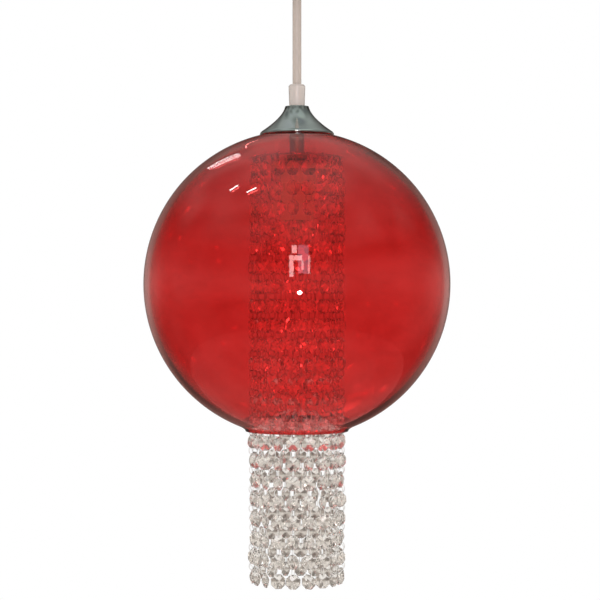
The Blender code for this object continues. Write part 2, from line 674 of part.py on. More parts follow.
def main():
    clear_scene()
    steel = finish("zinc_plated_steel", (0.55, 0.55, 0.53), 0.35, 1.0)
    chrome = finish("chrome_plate", (0.62, 0.65, 0.64), 0.06, 1.0)
    brass = finish("nickel_plated_brass", (0.66, 0.62, 0.52), 0.25, 1.0)
    white_plastic = finish("white_thermoplastic", (0.75, 0.74, 0.70), 0.4)
    ceramic = finish("glazed_ceramic", (0.80, 0.78, 0.72), 0.25)
    clear_plastic = finish("clear_nylon", (0.80, 0.78, 0.74), 0.12, transmission=0.8)
    clear_pvc = finish("clear_pvc_flex", (0.60, 0.50, 0.45), 0.25, transmission=0.3)
    rubber = finish("silicone_rubber", (0.60, 0.60, 0.58), 0.6)
    red_glass = finish("red_blown_glass", (0.45, 0.012, 0.014), 0.02, transmission=0.9)
    clear_glass = finish("clear_bulb_glass", (0.95, 0.95, 0.95), 0.02, transmission=1.0)
    crystal = finish("cut_crystal", (0.86, 0.85, 0.82), 0.02, transmission=0.8)

    swing_axis = axis_empty("cord_swing_axis", CORD_TOP)
    tilt_axis = axis_empty("lamp_tilt_axis", CORD_BOTTOM, swing_axis)
    turn_axis = axis_empty("lamp_turn_axis", CAP_TOP, tilt_axis)
    bulb_axis = axis_empty("bulb_axis", BULB_TOP, turn_axis)

    make_bracket(steel)
    make_canopy(chrome)
    make_side_screw("canopy_screw_left", -1, brass)
    make_side_screw("canopy_screw_right", 1, brass)
    make_terminal_block(white_plastic)
    make_canopy_nipple(steel)
    upper_grip = grip_outline(CORD_TOP, CANOPY_GRIP_TOP, CANOPY_NIPPLE_DEPTH)
    turned("canopy_cord_grip", upper_grip, clear_plastic)

    make_cord(clear_pvc, swing_axis)
    make_lamp_grip(clear_plastic, steel, tilt_axis)

    make_nipple(brass, turn_axis)
    make_lead(clear_pvc, turn_axis)
    make_cap(chrome, turn_axis)
    make_gasket(rubber, turn_axis)
    make_globe(red_glass, turn_axis)
    make_clamp(steel, turn_axis)
    make_plate(chrome, turn_axis)
    make_lampholder(white_plastic, ceramic, turn_axis)
    make_bulb(clear_glass, brass, bulb_axis)
    make_strands(crystal, turn_axis)


main()
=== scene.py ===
import json
from math import asin, cos, pi, radians, sin, sqrt

import bmesh
import bpy
from mathutils import Matrix, Vector

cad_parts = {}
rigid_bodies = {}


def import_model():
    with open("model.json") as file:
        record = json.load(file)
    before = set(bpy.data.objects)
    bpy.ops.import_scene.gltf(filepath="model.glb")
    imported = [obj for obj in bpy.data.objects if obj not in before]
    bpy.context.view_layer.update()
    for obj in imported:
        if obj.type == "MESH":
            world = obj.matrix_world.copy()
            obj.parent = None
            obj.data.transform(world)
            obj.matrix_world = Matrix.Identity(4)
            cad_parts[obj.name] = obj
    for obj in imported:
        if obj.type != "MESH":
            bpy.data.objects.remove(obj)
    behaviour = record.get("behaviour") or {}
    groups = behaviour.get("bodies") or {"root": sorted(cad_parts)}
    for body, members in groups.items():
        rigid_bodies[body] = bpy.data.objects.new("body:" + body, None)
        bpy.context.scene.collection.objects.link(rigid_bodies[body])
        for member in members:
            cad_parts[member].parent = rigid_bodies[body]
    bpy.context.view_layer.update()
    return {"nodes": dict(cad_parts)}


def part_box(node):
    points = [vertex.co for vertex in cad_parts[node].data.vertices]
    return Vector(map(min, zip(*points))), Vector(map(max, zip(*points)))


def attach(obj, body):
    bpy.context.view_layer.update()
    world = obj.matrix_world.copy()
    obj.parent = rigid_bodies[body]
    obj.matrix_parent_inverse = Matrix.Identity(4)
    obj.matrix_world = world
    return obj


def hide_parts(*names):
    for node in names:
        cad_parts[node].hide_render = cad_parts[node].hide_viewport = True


for leftOver in list(bpy.data.objects):
    bpy.data.objects.remove(leftOver)
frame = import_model()
millimetre = 0.001
tubeHole = 0.0053  # radius of a hole that clears the threaded tube


# Small tools

def linear(hexColour):
    channels = [int(hexColour[i:i + 2], 16) / 255 for i in (1, 3, 5)]
    return (*[c / 12.92 if c <= 0.04045 else ((c + 0.055) / 1.055) ** 2.4 for c in channels], 1.0)


def addNode(tree, kind, inputs=None, steps=(), **settings):  # steps are a colour ramp's, from left to right
    node = tree.nodes.new(kind)
    for name, value in settings.items():
        setattr(node, name, value)
    for name, value in (inputs or {}).items():
        for each in value if isinstance(value, list) else [value]:
            if isinstance(each, bpy.types.Node):
                each = each.outputs[0]
            if isinstance(each, bpy.types.NodeSocket):
                tree.links.new(each, node.inputs[name])
            else:
                node.inputs[name].default_value = each
    for i, (position, shade) in enumerate(steps):
        elements = node.color_ramp.elements
        element = elements[i] if i < len(elements) else elements.new(position)
        element.position = position
        element.color = linear(shade)
    return node


def startMaterial(name, values):
    material = bpy.data.materials.new(name)
    material.use_nodes = True
    shader = material.node_tree.nodes["Principled BSDF"]
    for socket, value in values.items():
        shader.inputs[socket].default_value = value
    return material, material.node_tree, shader


def placeObject(name, data):
    made = bpy.data.objects.new(name, data)
    bpy.context.scene.collection.objects.link(made)
    return made


def spot(node):  # the heights and the radius of a turned piece of the frame
    low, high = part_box(node)
    return low.z, high.z, high.x


def curveOf(centre, radius, start, end, steps):  # angles from straight up, in the (radius, height) plane
    turns = [start + (end - start) * i / steps for i in range(steps + 1)]
    return [(centre[0] + radius * sin(a), centre[1] + radius * cos(a)) for a in turns]


def smoothMesh(name, bm, sharpAngle=radians(30)):
    mesh = bpy.data.meshes.new(name)
    bm.to_mesh(mesh)
    bm.free()
    mesh.shade_smooth()
    mesh.set_sharp_from_angle(angle=sharpAngle)
    return mesh


def meshFrom(name, bm, sharpAngle=radians(30)):
    bmesh.ops.remove_doubles(bm, verts=bm.verts, dist=1e-6)
    bmesh.ops.recalc_face_normals(bm, faces=bm.faces)
    return smoothMesh(name, bm, sharpAngle)


def band(inner, outer, low, high, softLow, softHigh):  # the outline of a ring whose two outer edges are softened
    return [(inner, low), (outer - softLow, low), (outer, low + softLow),
            (outer, high - softHigh), (outer - softHigh, high), (inner, high)]


def turn(name, outline, segments=96, shape=None, sharpAngle=radians(30)):
    # A closed outline of (radius, height), or one that ends on the axis, turned about Z.
    # shape(radius, height, angle) gives the radius at a point where it isn't round.
    bm = bmesh.new()
    columns = []
    for k in range(segments):
        a = 2 * pi * k / segments
        column = []
        for radius, height in outline:
            r = shape(radius, height, a) if shape else radius
            column.append(bm.verts.new((r * cos(a), r * sin(a), height)))
        columns.append(column)
    closed = outline[0][0] > 0 or outline[-1][0] > 0
    last = len(outline) if closed else len(outline) - 1
    for k in range(segments):
        here, there = columns[k], columns[(k + 1) % segments]
        for i in range(last):
            j = (i + 1) % len(outline)
            bm.faces.new((here[i], there[i], there[j], here[j]))
    bmesh.ops.remove_doubles(bm, verts=bm.verts, dist=1e-7)
    bmesh.ops.dissolve_degenerate(bm, edges=bm.edges, dist=1e-7)
    return meshFrom(name, bm, sharpAngle)


def addPiece(name, mesh, material, body, slot, *nodes):
    piece = placeObject(name, mesh)
    if material:
        mesh.materials.clear()
        mesh.materials.append(material)
    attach(piece, body)
    if nodes:
        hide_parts(*nodes)
    return piece


def softenedCopy(name, node, material, body, slot, width, segments=3):
    # The frame's own flat-sided shape, with its edges rounded.
    bm = bmesh.new()
    bm.from_mesh(frame["nodes"][node].data)
    bmesh.ops.remove_doubles(bm, verts=bm.verts, dist=1e-5)
    bmesh.ops.dissolve_limit(bm, angle_limit=radians(1), verts=bm.verts, edges=bm.edges)
    piece = addPiece(name, smoothMesh(name, bm), material, body, slot, node)
    soften = piece.modifiers.new("Edges", "BEVEL")
    soften.width = width
    soften.segments = segments
    soften.limit_method = "ANGLE"
    soften.angle_limit = radians(30)
    soften.harden_normals = True
    return piece


def drilled(name, blank, cutter):  # one mesh with the other cut out of it
    kept, removed = placeObject(name + "_blank", blank), placeObject(name + "_holes", cutter)
    drill = kept.modifiers.new("Holes", "BOOLEAN")
    drill.object = removed
    drill.solver = "EXACT"
    mesh = bpy.data.meshes.new_from_object(kept.evaluated_get(bpy.context.evaluated_depsgraph_get()))
    for each in (removed, kept):
        bpy.data.objects.remove(each)
    return mesh


def startTree(name, inputs):
    tree = bpy.data.node_groups.new(name, "GeometryNodeTree")
    tree.interface.new_socket("Geometry", in_out="INPUT", socket_type="NodeSocketGeometry")
    for label, kind in inputs.items():
        tree.interface.new_socket(label, in_out="INPUT", socket_type="NodeSocket" + kind)
    tree.interface.new_socket("Geometry", in_out="OUTPUT", socket_type="NodeSocketGeometry")
    given = addNode(tree, "NodeGroupInput")
    return tree, {label: given.outputs[label] for label in inputs}


def onCircle(tree, angle, radius):  # how far a point at this angle stands to the two sides
    shares = [addNode(tree, "ShaderNodeMath", {0: angle}, operation=side) for side in ("COSINE", "SINE")]
    return [addNode(tree, "ShaderNodeMath", {0: share, 1: radius}, operation="MULTIPLY") for share in shares]


def meshFromTree(name, tree, values):
    carrier = placeObject(name, bpy.data.meshes.new(name))
    nodes = carrier.modifiers.new("Nodes", "NODES")
    nodes.node_group = tree
    for item in tree.interface.items_tree:
        if item.in_out == "INPUT" and item.name in values:
            nodes[item.identifier] = values[item.name]
    graph = bpy.context.evaluated_depsgraph_get()
    mesh = bpy.data.meshes.new_from_object(carrier.evaluated_get(graph))
    bpy.data.objects.remove(carrier)
    return mesh


# Materials

def makeRedGlass():
    # Blown soda glass with a red stain baked into it: see-through, glossy, and a little uneven in depth of colour
    material, tree, shader = startMaterial("red_blown_glass", {
        "Roughness": 0.0, "IOR": 1.5, "Transmission Weight": 1.0,
    })
    where = addNode(tree, "ShaderNodeTexCoord")
    stretched = addNode(tree, "ShaderNodeMapping", {"Vector": where.outputs["Object"], "Scale": (4, 4, 9)})
    cloud = addNode(tree, "ShaderNodeTexNoise", {"Vector": stretched, "Scale": 3.0, "Detail": 3.0, "Distortion": 1.2})
    tint = addNode(tree, "ShaderNodeValToRGB", {"Fac": cloud.outputs["Fac"]}, [(0.35, "#d65a58"), (0.65, "#de6766")])
    # Painted rim: where the wall is seen edge-on, the base colour goes from red to a brownish grey; this colour changes
    # with the view and is not the glass's own stain
    edge = addNode(tree, "ShaderNodeLayerWeight", {"Blend": 0.5})
    grazing = addNode(tree, "ShaderNodeMapRange", {"Value": edge.outputs["Facing"],
                                                   "From Min": 0.66, "From Max": 0.80})
    paintedGreyRim = addNode(tree, "ShaderNodeMixRGB", {"Fac": grazing.outputs["Result"], "Color1": tint,
                                                  "Color2": linear("#c3aca4")})
    tree.links.new(paintedGreyRim.outputs["Color"], shader.inputs["Base Color"])
    return material


def makeChrome(name, hexColour, roughness):
    # Chromium plated over spun and buffed steel: a dark mirror, with faint turning marks left round it
    material, tree, shader = startMaterial(name, {"Metallic": 1.0, "Roughness": roughness})
    where = addNode(tree, "ShaderNodeTexCoord")
    apart = addNode(tree, "ShaderNodeSeparateXYZ", {"Vector": where.outputs["Object"]})
    marks = addNode(tree, "ShaderNodeTexNoise", {"W": apart.outputs["Z"], "Scale": 900.0, "Detail": 2.0},
                    noise_dimensions="1D")
    smears = addNode(tree, "ShaderNodeTexNoise", {"Vector": where.outputs["Object"], "Scale": 60.0, "Detail": 4.0})
    tint = addNode(tree, "ShaderNodeValToRGB", {"Fac": smears.outputs["Fac"]}, [(0.0, hexColour), (1.0, "#ccd2d0")])
    rough = addNode(tree, "ShaderNodeMapRange", {"Value": smears.outputs["Fac"], "From Min": 0.3, "From Max": 0.7,
                                                 "To Min": roughness, "To Max": roughness + 0.05})
    bump = addNode(tree, "ShaderNodeBump", {"Strength": 0.05, "Distance": 0.0002, "Height": marks.outputs["Fac"]})
    tree.links.new(tint.outputs["Color"], shader.inputs["Base Color"])
    tree.links.new(rough.outputs["Result"], shader.inputs["Roughness"])
    tree.links.new(bump.outputs["Normal"], shader.inputs["Normal"])
    return material


def makePlated(name, dark, light, roughness, grain, metallic=1.0):
    # Electroplated metal: a thin grey or yellowish coat, cloudy where it has handled or weathered
    material, tree, shader = startMaterial(name, {"Metallic": metallic})
    where = addNode(tree, "ShaderNodeTexCoord")
    cloud = addNode(tree, "ShaderNodeTexNoise", {"Vector": where.outputs["Object"], "Scale": 1 / grain, "Detail": 5.0})
    tint = addNode(tree, "ShaderNodeValToRGB", {"Fac": cloud.outputs["Fac"]}, [(0.3, dark), (0.7, light)])
    rough = addNode(tree, "ShaderNodeMapRange", {"Value": cloud.outputs["Fac"], "From Min": 0.3, "From Max": 0.7,
                                                 "To Min": roughness, "To Max": roughness * 1.6})
    tree.links.new(tint.outputs["Color"], shader.inputs["Base Color"])
    tree.links.new(rough.outputs["Result"], shader.inputs["Roughness"])
    return material


def makeClearPlastic(name, hexColour, roughness, transmission, ior):
    # Clear plastic, moulded or extruded: slightly milky, with faint flow lines along its length
    material, tree, shader = startMaterial(name, {"IOR": ior, "Transmission Weight": transmission})
    where = addNode(tree, "ShaderNodeTexCoord")
    along = addNode(tree, "ShaderNodeMapping", {"Vector": where.outputs["Object"], "Scale": (1, 1, 0.06)})
    flow = addNode(tree, "ShaderNodeTexNoise", {"Vector": along, "Scale": 900.0, "Detail": 2.0})
    rough = addNode(tree, "ShaderNodeMapRange", {"Value": flow.outputs["Fac"], "From Min": 0.3, "From Max": 0.7,
                                                 "To Min": roughness, "To Max": roughness + 0.1})
    shader.inputs["Base Color"].default_value = linear(hexColour)
    tree.links.new(rough.outputs["Result"], shader.inputs["Roughness"])
    return material


def makeMatt(name, dark, light, roughness, grain, depth):
    # A moulded or fired surface of one colour, with a fine uneven skin
    material, tree, shader = startMaterial(name, {"Roughness": roughness})
    where = addNode(tree, "ShaderNodeTexCoord")
    cloud = addNode(tree, "ShaderNodeTexNoise", {"Vector": where.outputs["Object"], "Scale": 1 / grain, "Detail": 4.0})
    tint = addNode(tree, "ShaderNodeValToRGB", {"Fac": cloud.outputs["Fac"]}, [(0.0, dark), (1.0, light)])
    bump = addNode(tree, "ShaderNodeBump", {"Strength": 0.3, "Distance": depth, "Height": cloud.outputs["Fac"]})
    tree.links.new(tint.outputs["Color"], shader.inputs["Base Color"])
    tree.links.new(bump.outputs["Normal"], shader.inputs["Normal"])
    return material


redGlass = makeRedGlass()
# Lead crystal, cut and polished: every facet shows another part of the room, and a trace of dust turns it grey
crystal = startMaterial("lead_crystal", {
    "Base Color": linear("#faf7f3"), "Roughness": 0.0, "IOR": 1.5, "Transmission Weight": 0.93,
})[0]
chrome = makeChrome("chrome_plated_steel", "#aab3b0", 0.04)
zincSteel = makePlated("zinc_plated_steel", "#a3a39c", "#c3c3bb", 0.28, 0.004)
nickelBrass = makePlated("nickel_plated_brass", "#c2b79c", "#d9d2bd", 0.18, 0.003, 0.7)
silverWire = makePlated("silver_plated_wire", "#e9e7e2", "#f8f7f4", 0.3, 0.002, 0.35)
tungsten = makePlated("drawn_tungsten", "#6f6c68", "#8d8a85", 0.3, 0.001)
clearNylon = makeClearPlastic("clear_nylon_moulded", "#f6ece5", 0.16, 0.5, 1.53)
clearPvc = makeClearPlastic("clear_pvc_jacket", "#f1e4da", 0.12, 0.55, 1.53)
coreSkin = makeMatt("pale_core_insulation", "#e6dcd4", "#f4ede7", 0.4, 0.0015, 0.0001)
whitePlastic = makeMatt("white_thermoplastic_moulded", "#dedad1", "#ebe8e1", 0.38, 0.0012, 0.00005)
holderPlastic = makeMatt("white_urea_moulded", "#efe6d8", "#f7f1e6", 0.35, 0.0012, 0.00005)
# Painted glow: the plastic is given a little warm light of its own, standing in for light that comes through it
for socket, value in (("Emission Color", linear("#ffb48a")), ("Emission Strength", 0.22)):
    holderPlastic.node_tree.nodes["Principled BSDF"].inputs[socket].default_value = value
ceramic = makeMatt("glazed_steatite", "#e3ddd0", "#f1ede4", 0.2, 0.003, 0.00005)
silicone = makeMatt("silicone_rubber", "#c9c9c4", "#d8d8d4", 0.6, 0.001, 0.00008)
# Thin soda glass, blown in a mould: clear, smooth and almost colourless
bulbGlass = startMaterial("clear_bulb_glass", {
    "Base Color": linear("#fbfbfa"), "Roughness": 0.0, "IOR": 1.5, "Transmission Weight": 1.0,
})[0]
print("materials made")


# Camera

view = {
    "distance": 1.745,  # from the lamp's axis
    "belowCentre": 0.0156,  # below the middle of the globe
    "right": 0.003,
    "lens": 106.8,
}
globe = {
    "radius": 0.150,
    "wall": 0.003,  # round the top hole
    "thickWall": 0.0056,  # from the shoulder down, where blown glass gathers
    "topHole": 0.015,
    "mouth": 0.0505,
    "lipLength": 0.0029,
    "lipBlend": 0.0065,
    "lipWall": 0.0016,
    "lipDrop": 0.0007,  # from the mouth out to where the lip turns down
    "thickensFrom": 0.22,  # angle from straight up where the wall begins to thicken
    "thickensOver": 0.35,
    "steps": 96,
    "segments": 160,
}
globeLow = spot("globe")[0]
globeMiddle = globeLow + globe["lipLength"] + sqrt(globe["radius"] ** 2 - globe["mouth"] ** 2)

camera = placeObject("camera", bpy.data.cameras.new("camera"))
camera.data.lens = view["lens"]
camera.data.sensor_width = 36
camera.location = (view["right"], -view["distance"], globeMiddle - view["belowCentre"])
camera.rotation_euler = (pi / 2, 0, 0)
bpy.context.scene.camera = camera


# Flex and its two grips

flex = {
    "radius": 0.0043,
    "intoGrip": 0.0012,
    "points": 16,
    "cores": 3,
    "coreRadius": 0.0009,
    "coreCircle": 0.00115,
    "layLength": 0.055,  # of one turn of the cores
}


grip = {
    "radius": 0.0082,
    "taper": 0.0006,
    "chamfer": 0.0016,
    "soft": 0.0003,  # width of its softened edges
    "funnel": 0.003,  # depth of the wider mouth
    "threadGap": 0.0006,  # beyond the tube's end
}
tube = {  # the threaded tube that the lamp hangs from, and the hollow bolt above
    "radius": 0.005,
    "bore": 0.0034,
    "depth": 0.0005,
    "pitch": 0.001,
    "inGrip": 0.006,
    "inUpperGrip": 0.0065,
}


def gripOutline(mouth, far, tubeLength):  # from the mouth that the flex enters to the end that takes the tube
    way = 1 if far > mouth else -1
    radius, taper, chamfer, soft = grip["radius"], grip["taper"], grip["chamfer"], grip["soft"]
    entry, jacket = flex["radius"] + 0.0006, flex["radius"] + 0.0003
    thread = far - way * (tubeLength + grip["threadGap"])
    return [
        (entry + soft, mouth),
        (radius - chamfer - soft, mouth),
        (radius - chamfer + soft * 0.3, mouth + way * soft * 0.3),
        (radius - soft * 0.3, mouth + way * (chamfer - soft * 0.3)),
        (radius, mouth + way * (chamfer + soft)),
        (radius - taper, far - way * soft),
        (radius - taper - soft, far),
        (tubeHole, far),
        (tubeHole, thread),
        (jacket, thread),
        (jacket, mouth + way * grip["funnel"]),
        (entry, mouth + way * grip["funnel"]),
        (entry, mouth + way * soft),
    ]


upperGripLow, upperGripHigh, _ = spot("canopy_cord_grip")
gripLow, gripHigh, _ = spot("cord_grip")
upperOutline = gripOutline(upperGripLow, upperGripHigh, tube["inUpperGrip"])
upperGrip = addPiece("canopy_grip_moulding", turn("canopy_grip_moulding", upperOutline, 64),
                     clearNylon, "ceiling_fitting", "clear_nylon", "canopy_cord_grip")
lowerOutline = gripOutline(gripHigh, gripLow, tube["inGrip"])
addPiece("lamp_grip_moulding", turn("lamp_grip_moulding", lowerOutline, 64),
         clearNylon, "grip", "clear_nylon", "cord_grip")

cordTop = upperGripLow + flex["intoGrip"]
cordBottom = gripHigh - flex["intoGrip"]
cordCurve = bpy.data.curves.new("flex_jacket", "CURVE")
cordCurve.dimensions = "3D"
cordCurve.bevel_depth = flex["radius"]
cordCurve.bevel_resolution = 6
cordCurve.use_fill_caps = True
line = cordCurve.splines.new("POLY")
line.points.add(flex["points"] - 1)
for i, point in enumerate(line.points):
    point.co = (0, 0, cordBottom + (cordTop - cordBottom) * i / (flex["points"] - 1), 1)
cordCurve.materials.append(clearPvc)
flexJacket = placeObject("flex_jacket", cordCurve)
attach(flexJacket, "flex")
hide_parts("pendant_cord")


def makeCoreTree():
    # Cores laid round each other along a straight line
    tree, given = startTree("Twisted cores", {
        "Cores": "Int", "Core Radius": "Float", "Circle": "Float", "Lay Length": "Float",
        "Bottom": "Float", "Top": "Float", "Steps": "Int", "Material": "Material",
    })
    low = addNode(tree, "ShaderNodeCombineXYZ", {"Z": given["Bottom"]})
    high = addNode(tree, "ShaderNodeCombineXYZ", {"Z": given["Top"]})
    straight = addNode(tree, "GeometryNodeCurvePrimitiveLine", {"Start": low, "End": high})
    steps = addNode(tree, "GeometryNodeResampleCurve", {"Curve": straight, "Count": given["Steps"]})
    here = addNode(tree, "ShaderNodeSeparateXYZ", {"Vector": addNode(tree, "GeometryNodeInputPosition")})
    turns = addNode(tree, "ShaderNodeMath", {0: here.outputs["Z"], 1: given["Lay Length"]}, operation="DIVIDE")
    angle = addNode(tree, "ShaderNodeMath", {0: turns, 1: 2 * pi}, operation="MULTIPLY")
    x, y = onCircle(tree, angle, given["Circle"])
    offset = addNode(tree, "ShaderNodeCombineXYZ", {"X": x, "Y": y})
    helix = addNode(tree, "GeometryNodeSetPosition", {"Geometry": steps, "Offset": offset})
    circle = addNode(tree, "GeometryNodeCurvePrimitiveCircle", {"Resolution": 14, "Radius": given["Core Radius"]})
    core = addNode(tree, "GeometryNodeCurveToMesh", {"Curve": helix, "Profile Curve": circle, "Fill Caps": True})
    points = addNode(tree, "GeometryNodeMeshLine", {"Count": given["Cores"], "Offset": (0, 0, 0)})
    share = addNode(tree, "ShaderNodeMath", {0: addNode(tree, "GeometryNodeInputIndex"), 1: given["Cores"]},
                    operation="DIVIDE")
    around = addNode(tree, "ShaderNodeMath", {0: share, 1: 2 * pi}, operation="MULTIPLY")
    copies = addNode(tree, "GeometryNodeInstanceOnPoints", {
        "Points": points, "Instance": core, "Rotation": addNode(tree, "ShaderNodeCombineXYZ", {"Z": around}),
    })
    real = addNode(tree, "GeometryNodeRealizeInstances", {"Geometry": copies})
    coated = addNode(tree, "GeometryNodeSetMaterial", {"Geometry": real, "Material": given["Material"]})
    addNode(tree, "NodeGroupOutput", {"Geometry": coated})
    return tree


coreTree = makeCoreTree()
cores = meshFromTree("flex_cores", coreTree, {
    "Cores": flex["cores"], "Core Radius": flex["coreRadius"], "Circle": flex["coreCircle"],
    "Lay Length": flex["layLength"], "Bottom": cordBottom + millimetre, "Top": cordTop - millimetre, "Steps": 40,
    "Material": coreSkin,
})
cores.shade_smooth()
addPiece("flex_cores", cores, None, "flex", "clear_pvc_flex")
print("flex and grips made")


# Threaded tubes and nuts

def threadedTube(name, outline, radius, depth, pitch, bottom, top, segments=48, perTurn=8):
    # outline holds the end of the thread nearest the bottom as its first point and the other as its second
    steps = round((top - bottom) / pitch * perTurn)
    flank = [(radius, bottom + (top - bottom) * i / steps) for i in range(steps + 1)]

    def groove(r, z, a):
        if abs(r - radius) > 1e-9:
            return r
        runOut = min(1.0, (z - bottom) / pitch, (top - z) / pitch)
        return r - depth * (1 - runOut * (0.5 + 0.5 * cos(2 * pi * z / pitch - a)))

    return turn(name, outline[:1] + flank + outline[1:], segments, groove, radians(70))



low, high, _ = spot("threaded_nipple")
addPiece("threaded_tube", threadedTube("threaded_tube", [
    (tube["bore"], low), (tube["bore"], high)], tube["radius"], tube["depth"], tube["pitch"], low, high),
    nickelBrass, "lamp", "nickel_plated_brass", "threaded_nipple")

low, high, collar = spot("canopy_nipple")
collarLow = high - 0.0025
addPiece("canopy_hollow_bolt", threadedTube("canopy_hollow_bolt", [
    (tube["bore"], low), (collar, collarLow), (collar, high - 0.0004), (collar - 0.0004, high), (tube["bore"], high),
], tube["radius"], tube["depth"], tube["pitch"], low, collarLow),
    zincSteel, "ceiling_fitting", "zinc_plated_steel", "canopy_nipple")

low, high, radius = spot("spacer_tube")
addPiece("spacer", turn("spacer", band(tubeHole, radius, low, high, 0.0003, 0.0003), 64), zincSteel, "lamp",
         "zinc_plated_steel", "spacer_tube")
low, high, radius = spot("globe_washer")
addPiece("washer", turn("washer", band(tubeHole, radius, low, high, 0.0006, 0.0004), 96), zincSteel, "lamp",
         "zinc_plated_steel", "globe_washer")
softenedCopy("hexagon_nut", "lock_nut", nickelBrass, "lamp", "nickel_plated_brass", 0.0004)


# Ceiling fitting

canopy = {"radius": 0.050, "wall": 0.0014, "rounding": 0.007}
low, high, _ = spot("ceiling_canopy")
bend = (canopy["radius"] - canopy["rounding"], low + canopy["rounding"])
outline = [(tubeHole, low)] + curveOf(bend, canopy["rounding"], pi, pi / 2, 12)
halfWall = canopy["wall"] / 2
outline += curveOf((canopy["radius"] - halfWall, high - halfWall), halfWall, pi / 2, -pi / 2, 6)
outline += curveOf(bend, canopy["rounding"] - canopy["wall"], pi / 2, pi, 10) + [(tubeHole, low + canopy["wall"])]
addPiece("canopy_cup", turn("canopy_cup", outline, 144), chrome, "ceiling_fitting", "chrome_plate", "ceiling_canopy")
softenedCopy("bracket_strap", "ceiling_bracket", zincSteel, "ceiling_fitting", "zinc_plated_steel", 0.0002, 2)
softenedCopy("wire_terminals", "terminal_block", whitePlastic, "ceiling_fitting", "white_thermoplastic", 0.0003, 2)

screw = {"shank": 0.0018, "head": 0.0042, "headLength": 0.005, "length": 0.009, "knurls": 24, "knurlDepth": 0.0003}


def knurl(r, z, a):
    return r - screw["knurlDepth"] * abs(sin(screw["knurls"] * a / 2)) if abs(r - screw["head"]) < 1e-9 else r


headFoot = canopy["radius"] + 0.0003
headTop = headFoot + screw["headLength"]
for side, name in ((-1, "left"), (1, "right")):
    outline = [
        (0, headFoot - screw["length"]),
        (screw["shank"] - 0.0003, headFoot - screw["length"]),
        (screw["shank"], headFoot - screw["length"] + 0.0003),
        (screw["shank"], headFoot),
        (screw["head"] - 0.0005, headFoot),
        (screw["head"], headFoot + 0.0004),
        (screw["head"], headTop - 0.0012),
        (screw["head"] - 0.0006, headTop - 0.0004),
        (screw["head"] - 0.0012, headTop),
        (0, headTop),
    ]
    mesh = turn("thumb_screw_" + name, outline, 4 * screw["knurls"], knurl)
    screwLow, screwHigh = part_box("canopy_screw_" + name)
    middle = (screwLow.z + screwHigh.z) / 2
    mesh.transform(Matrix.Translation((0, 0, middle)) @ Matrix.Rotation(side * pi / 2, 4, "Y"))
    addPiece("thumb_screw_" + name, mesh, nickelBrass, "ceiling_fitting", "nickel_plated_brass", "canopy_screw_" + name)

softenedCopy("clamping_screw", "grip_screw", zincSteel, "grip", "zinc_plated_steel", 0.0001, 2)
print("ceiling fitting made")


# Cap and globe

cap = {
    "base": 0.0363,
    "top": 0.0117,
    "rim": 0.0025,  # height of the straight band at its foot
    "wall": 0.0012,
    "edge": 0.0008,
    "rimRound": 0.0009,
    "power": 1.62,  # how sharply it flares
    "steps": 28,
}
capLow, capHigh, _ = spot("cap")
seatGap = 0.0003  # that cap and gasket stand off the glass
capSeat = globeMiddle + sqrt((globe["radius"] + seatGap) ** 2 - cap["base"] ** 2)
flareTop = capHigh - cap["edge"]
outer = []
for i in range(cap["steps"] + 1):
    share = i / cap["steps"]
    height = capSeat + cap["rim"] + (flareTop - capSeat - cap["rim"]) * share
    along = (height - capSeat - cap["rim"]) / (capHigh - capSeat - cap["rim"])
    outer.append((cap["top"] + (cap["base"] - cap["top"]) * (1 - along) ** cap["power"], height))
rimRound = cap["rimRound"]
outline = curveOf((cap["base"] - rimRound, capSeat + rimRound), rimRound, pi, pi / 2, 5)
outline += [(cap["base"], capSeat + cap["rim"] - 0.0008)] + outer[1:]
outline += curveOf((cap["top"] - cap["edge"], flareTop), cap["edge"], pi / 2, 0, 5)[1:]
outline += [(tubeHole, capHigh), (tubeHole, capHigh - cap["wall"])]
outline += [(r - cap["wall"], min(z, capHigh - cap["wall"])) for r, z in outer[::-1]]
outline += [(cap["base"] - cap["wall"], capSeat + 0.0006)]
addPiece("trumpet_cap", turn("trumpet_cap", outline, 144), chrome, "lamp", "chrome_plate", "cap")

gasket = {"inner": 0.0305, "outer": 0.0340, "thickness": 0.0012}
seat = globe["radius"] + seatGap


def onSphere(radius, out):
    return out, globeMiddle + sqrt(radius ** 2 - out ** 2)


outline = [onSphere(seat, gasket["inner"]), onSphere(seat, gasket["outer"]),
           onSphere(seat + gasket["thickness"], gasket["outer"]), onSphere(seat + gasket["thickness"], gasket["inner"])]
addPiece("gasket_ring", turn("gasket_ring", outline, 96), silicone, "lamp", "silicone_rubber", "cap_gasket")


def wallOf(radius, thicken, mouth, edge):  # from the top hole down the sphere, then turned down into the lip
    start = asin(globe["topHole"] / radius)
    full = radius - thicken
    out = mouth + globe["lipBlend"]
    end = pi - asin(out / full)
    points = []
    for i in range(globe["steps"] + 1):
        angle = start + (end - start) * i / globe["steps"]
        share = min(1.0, max(0.0, (angle - globe["thickensFrom"]) / globe["thickensOver"]))
        here = radius - thicken * share * share * (3 - 2 * share)
        points.append((here * sin(angle), globeMiddle + here * cos(angle)))
    slope = out / sqrt(full ** 2 - out ** 2)
    first, last = Vector(points[-1]), Vector((mouth, globeLow + edge))
    foot = mouth + globe["lipDrop"]
    corner = Vector((foot, first.y - slope * (first.x - foot)))
    bends = 9
    for i in range(1, bends + 1):
        t = i / bends
        points.append(tuple(first.lerp(corner, t).lerp(corner.lerp(last, t), t)))
    return points


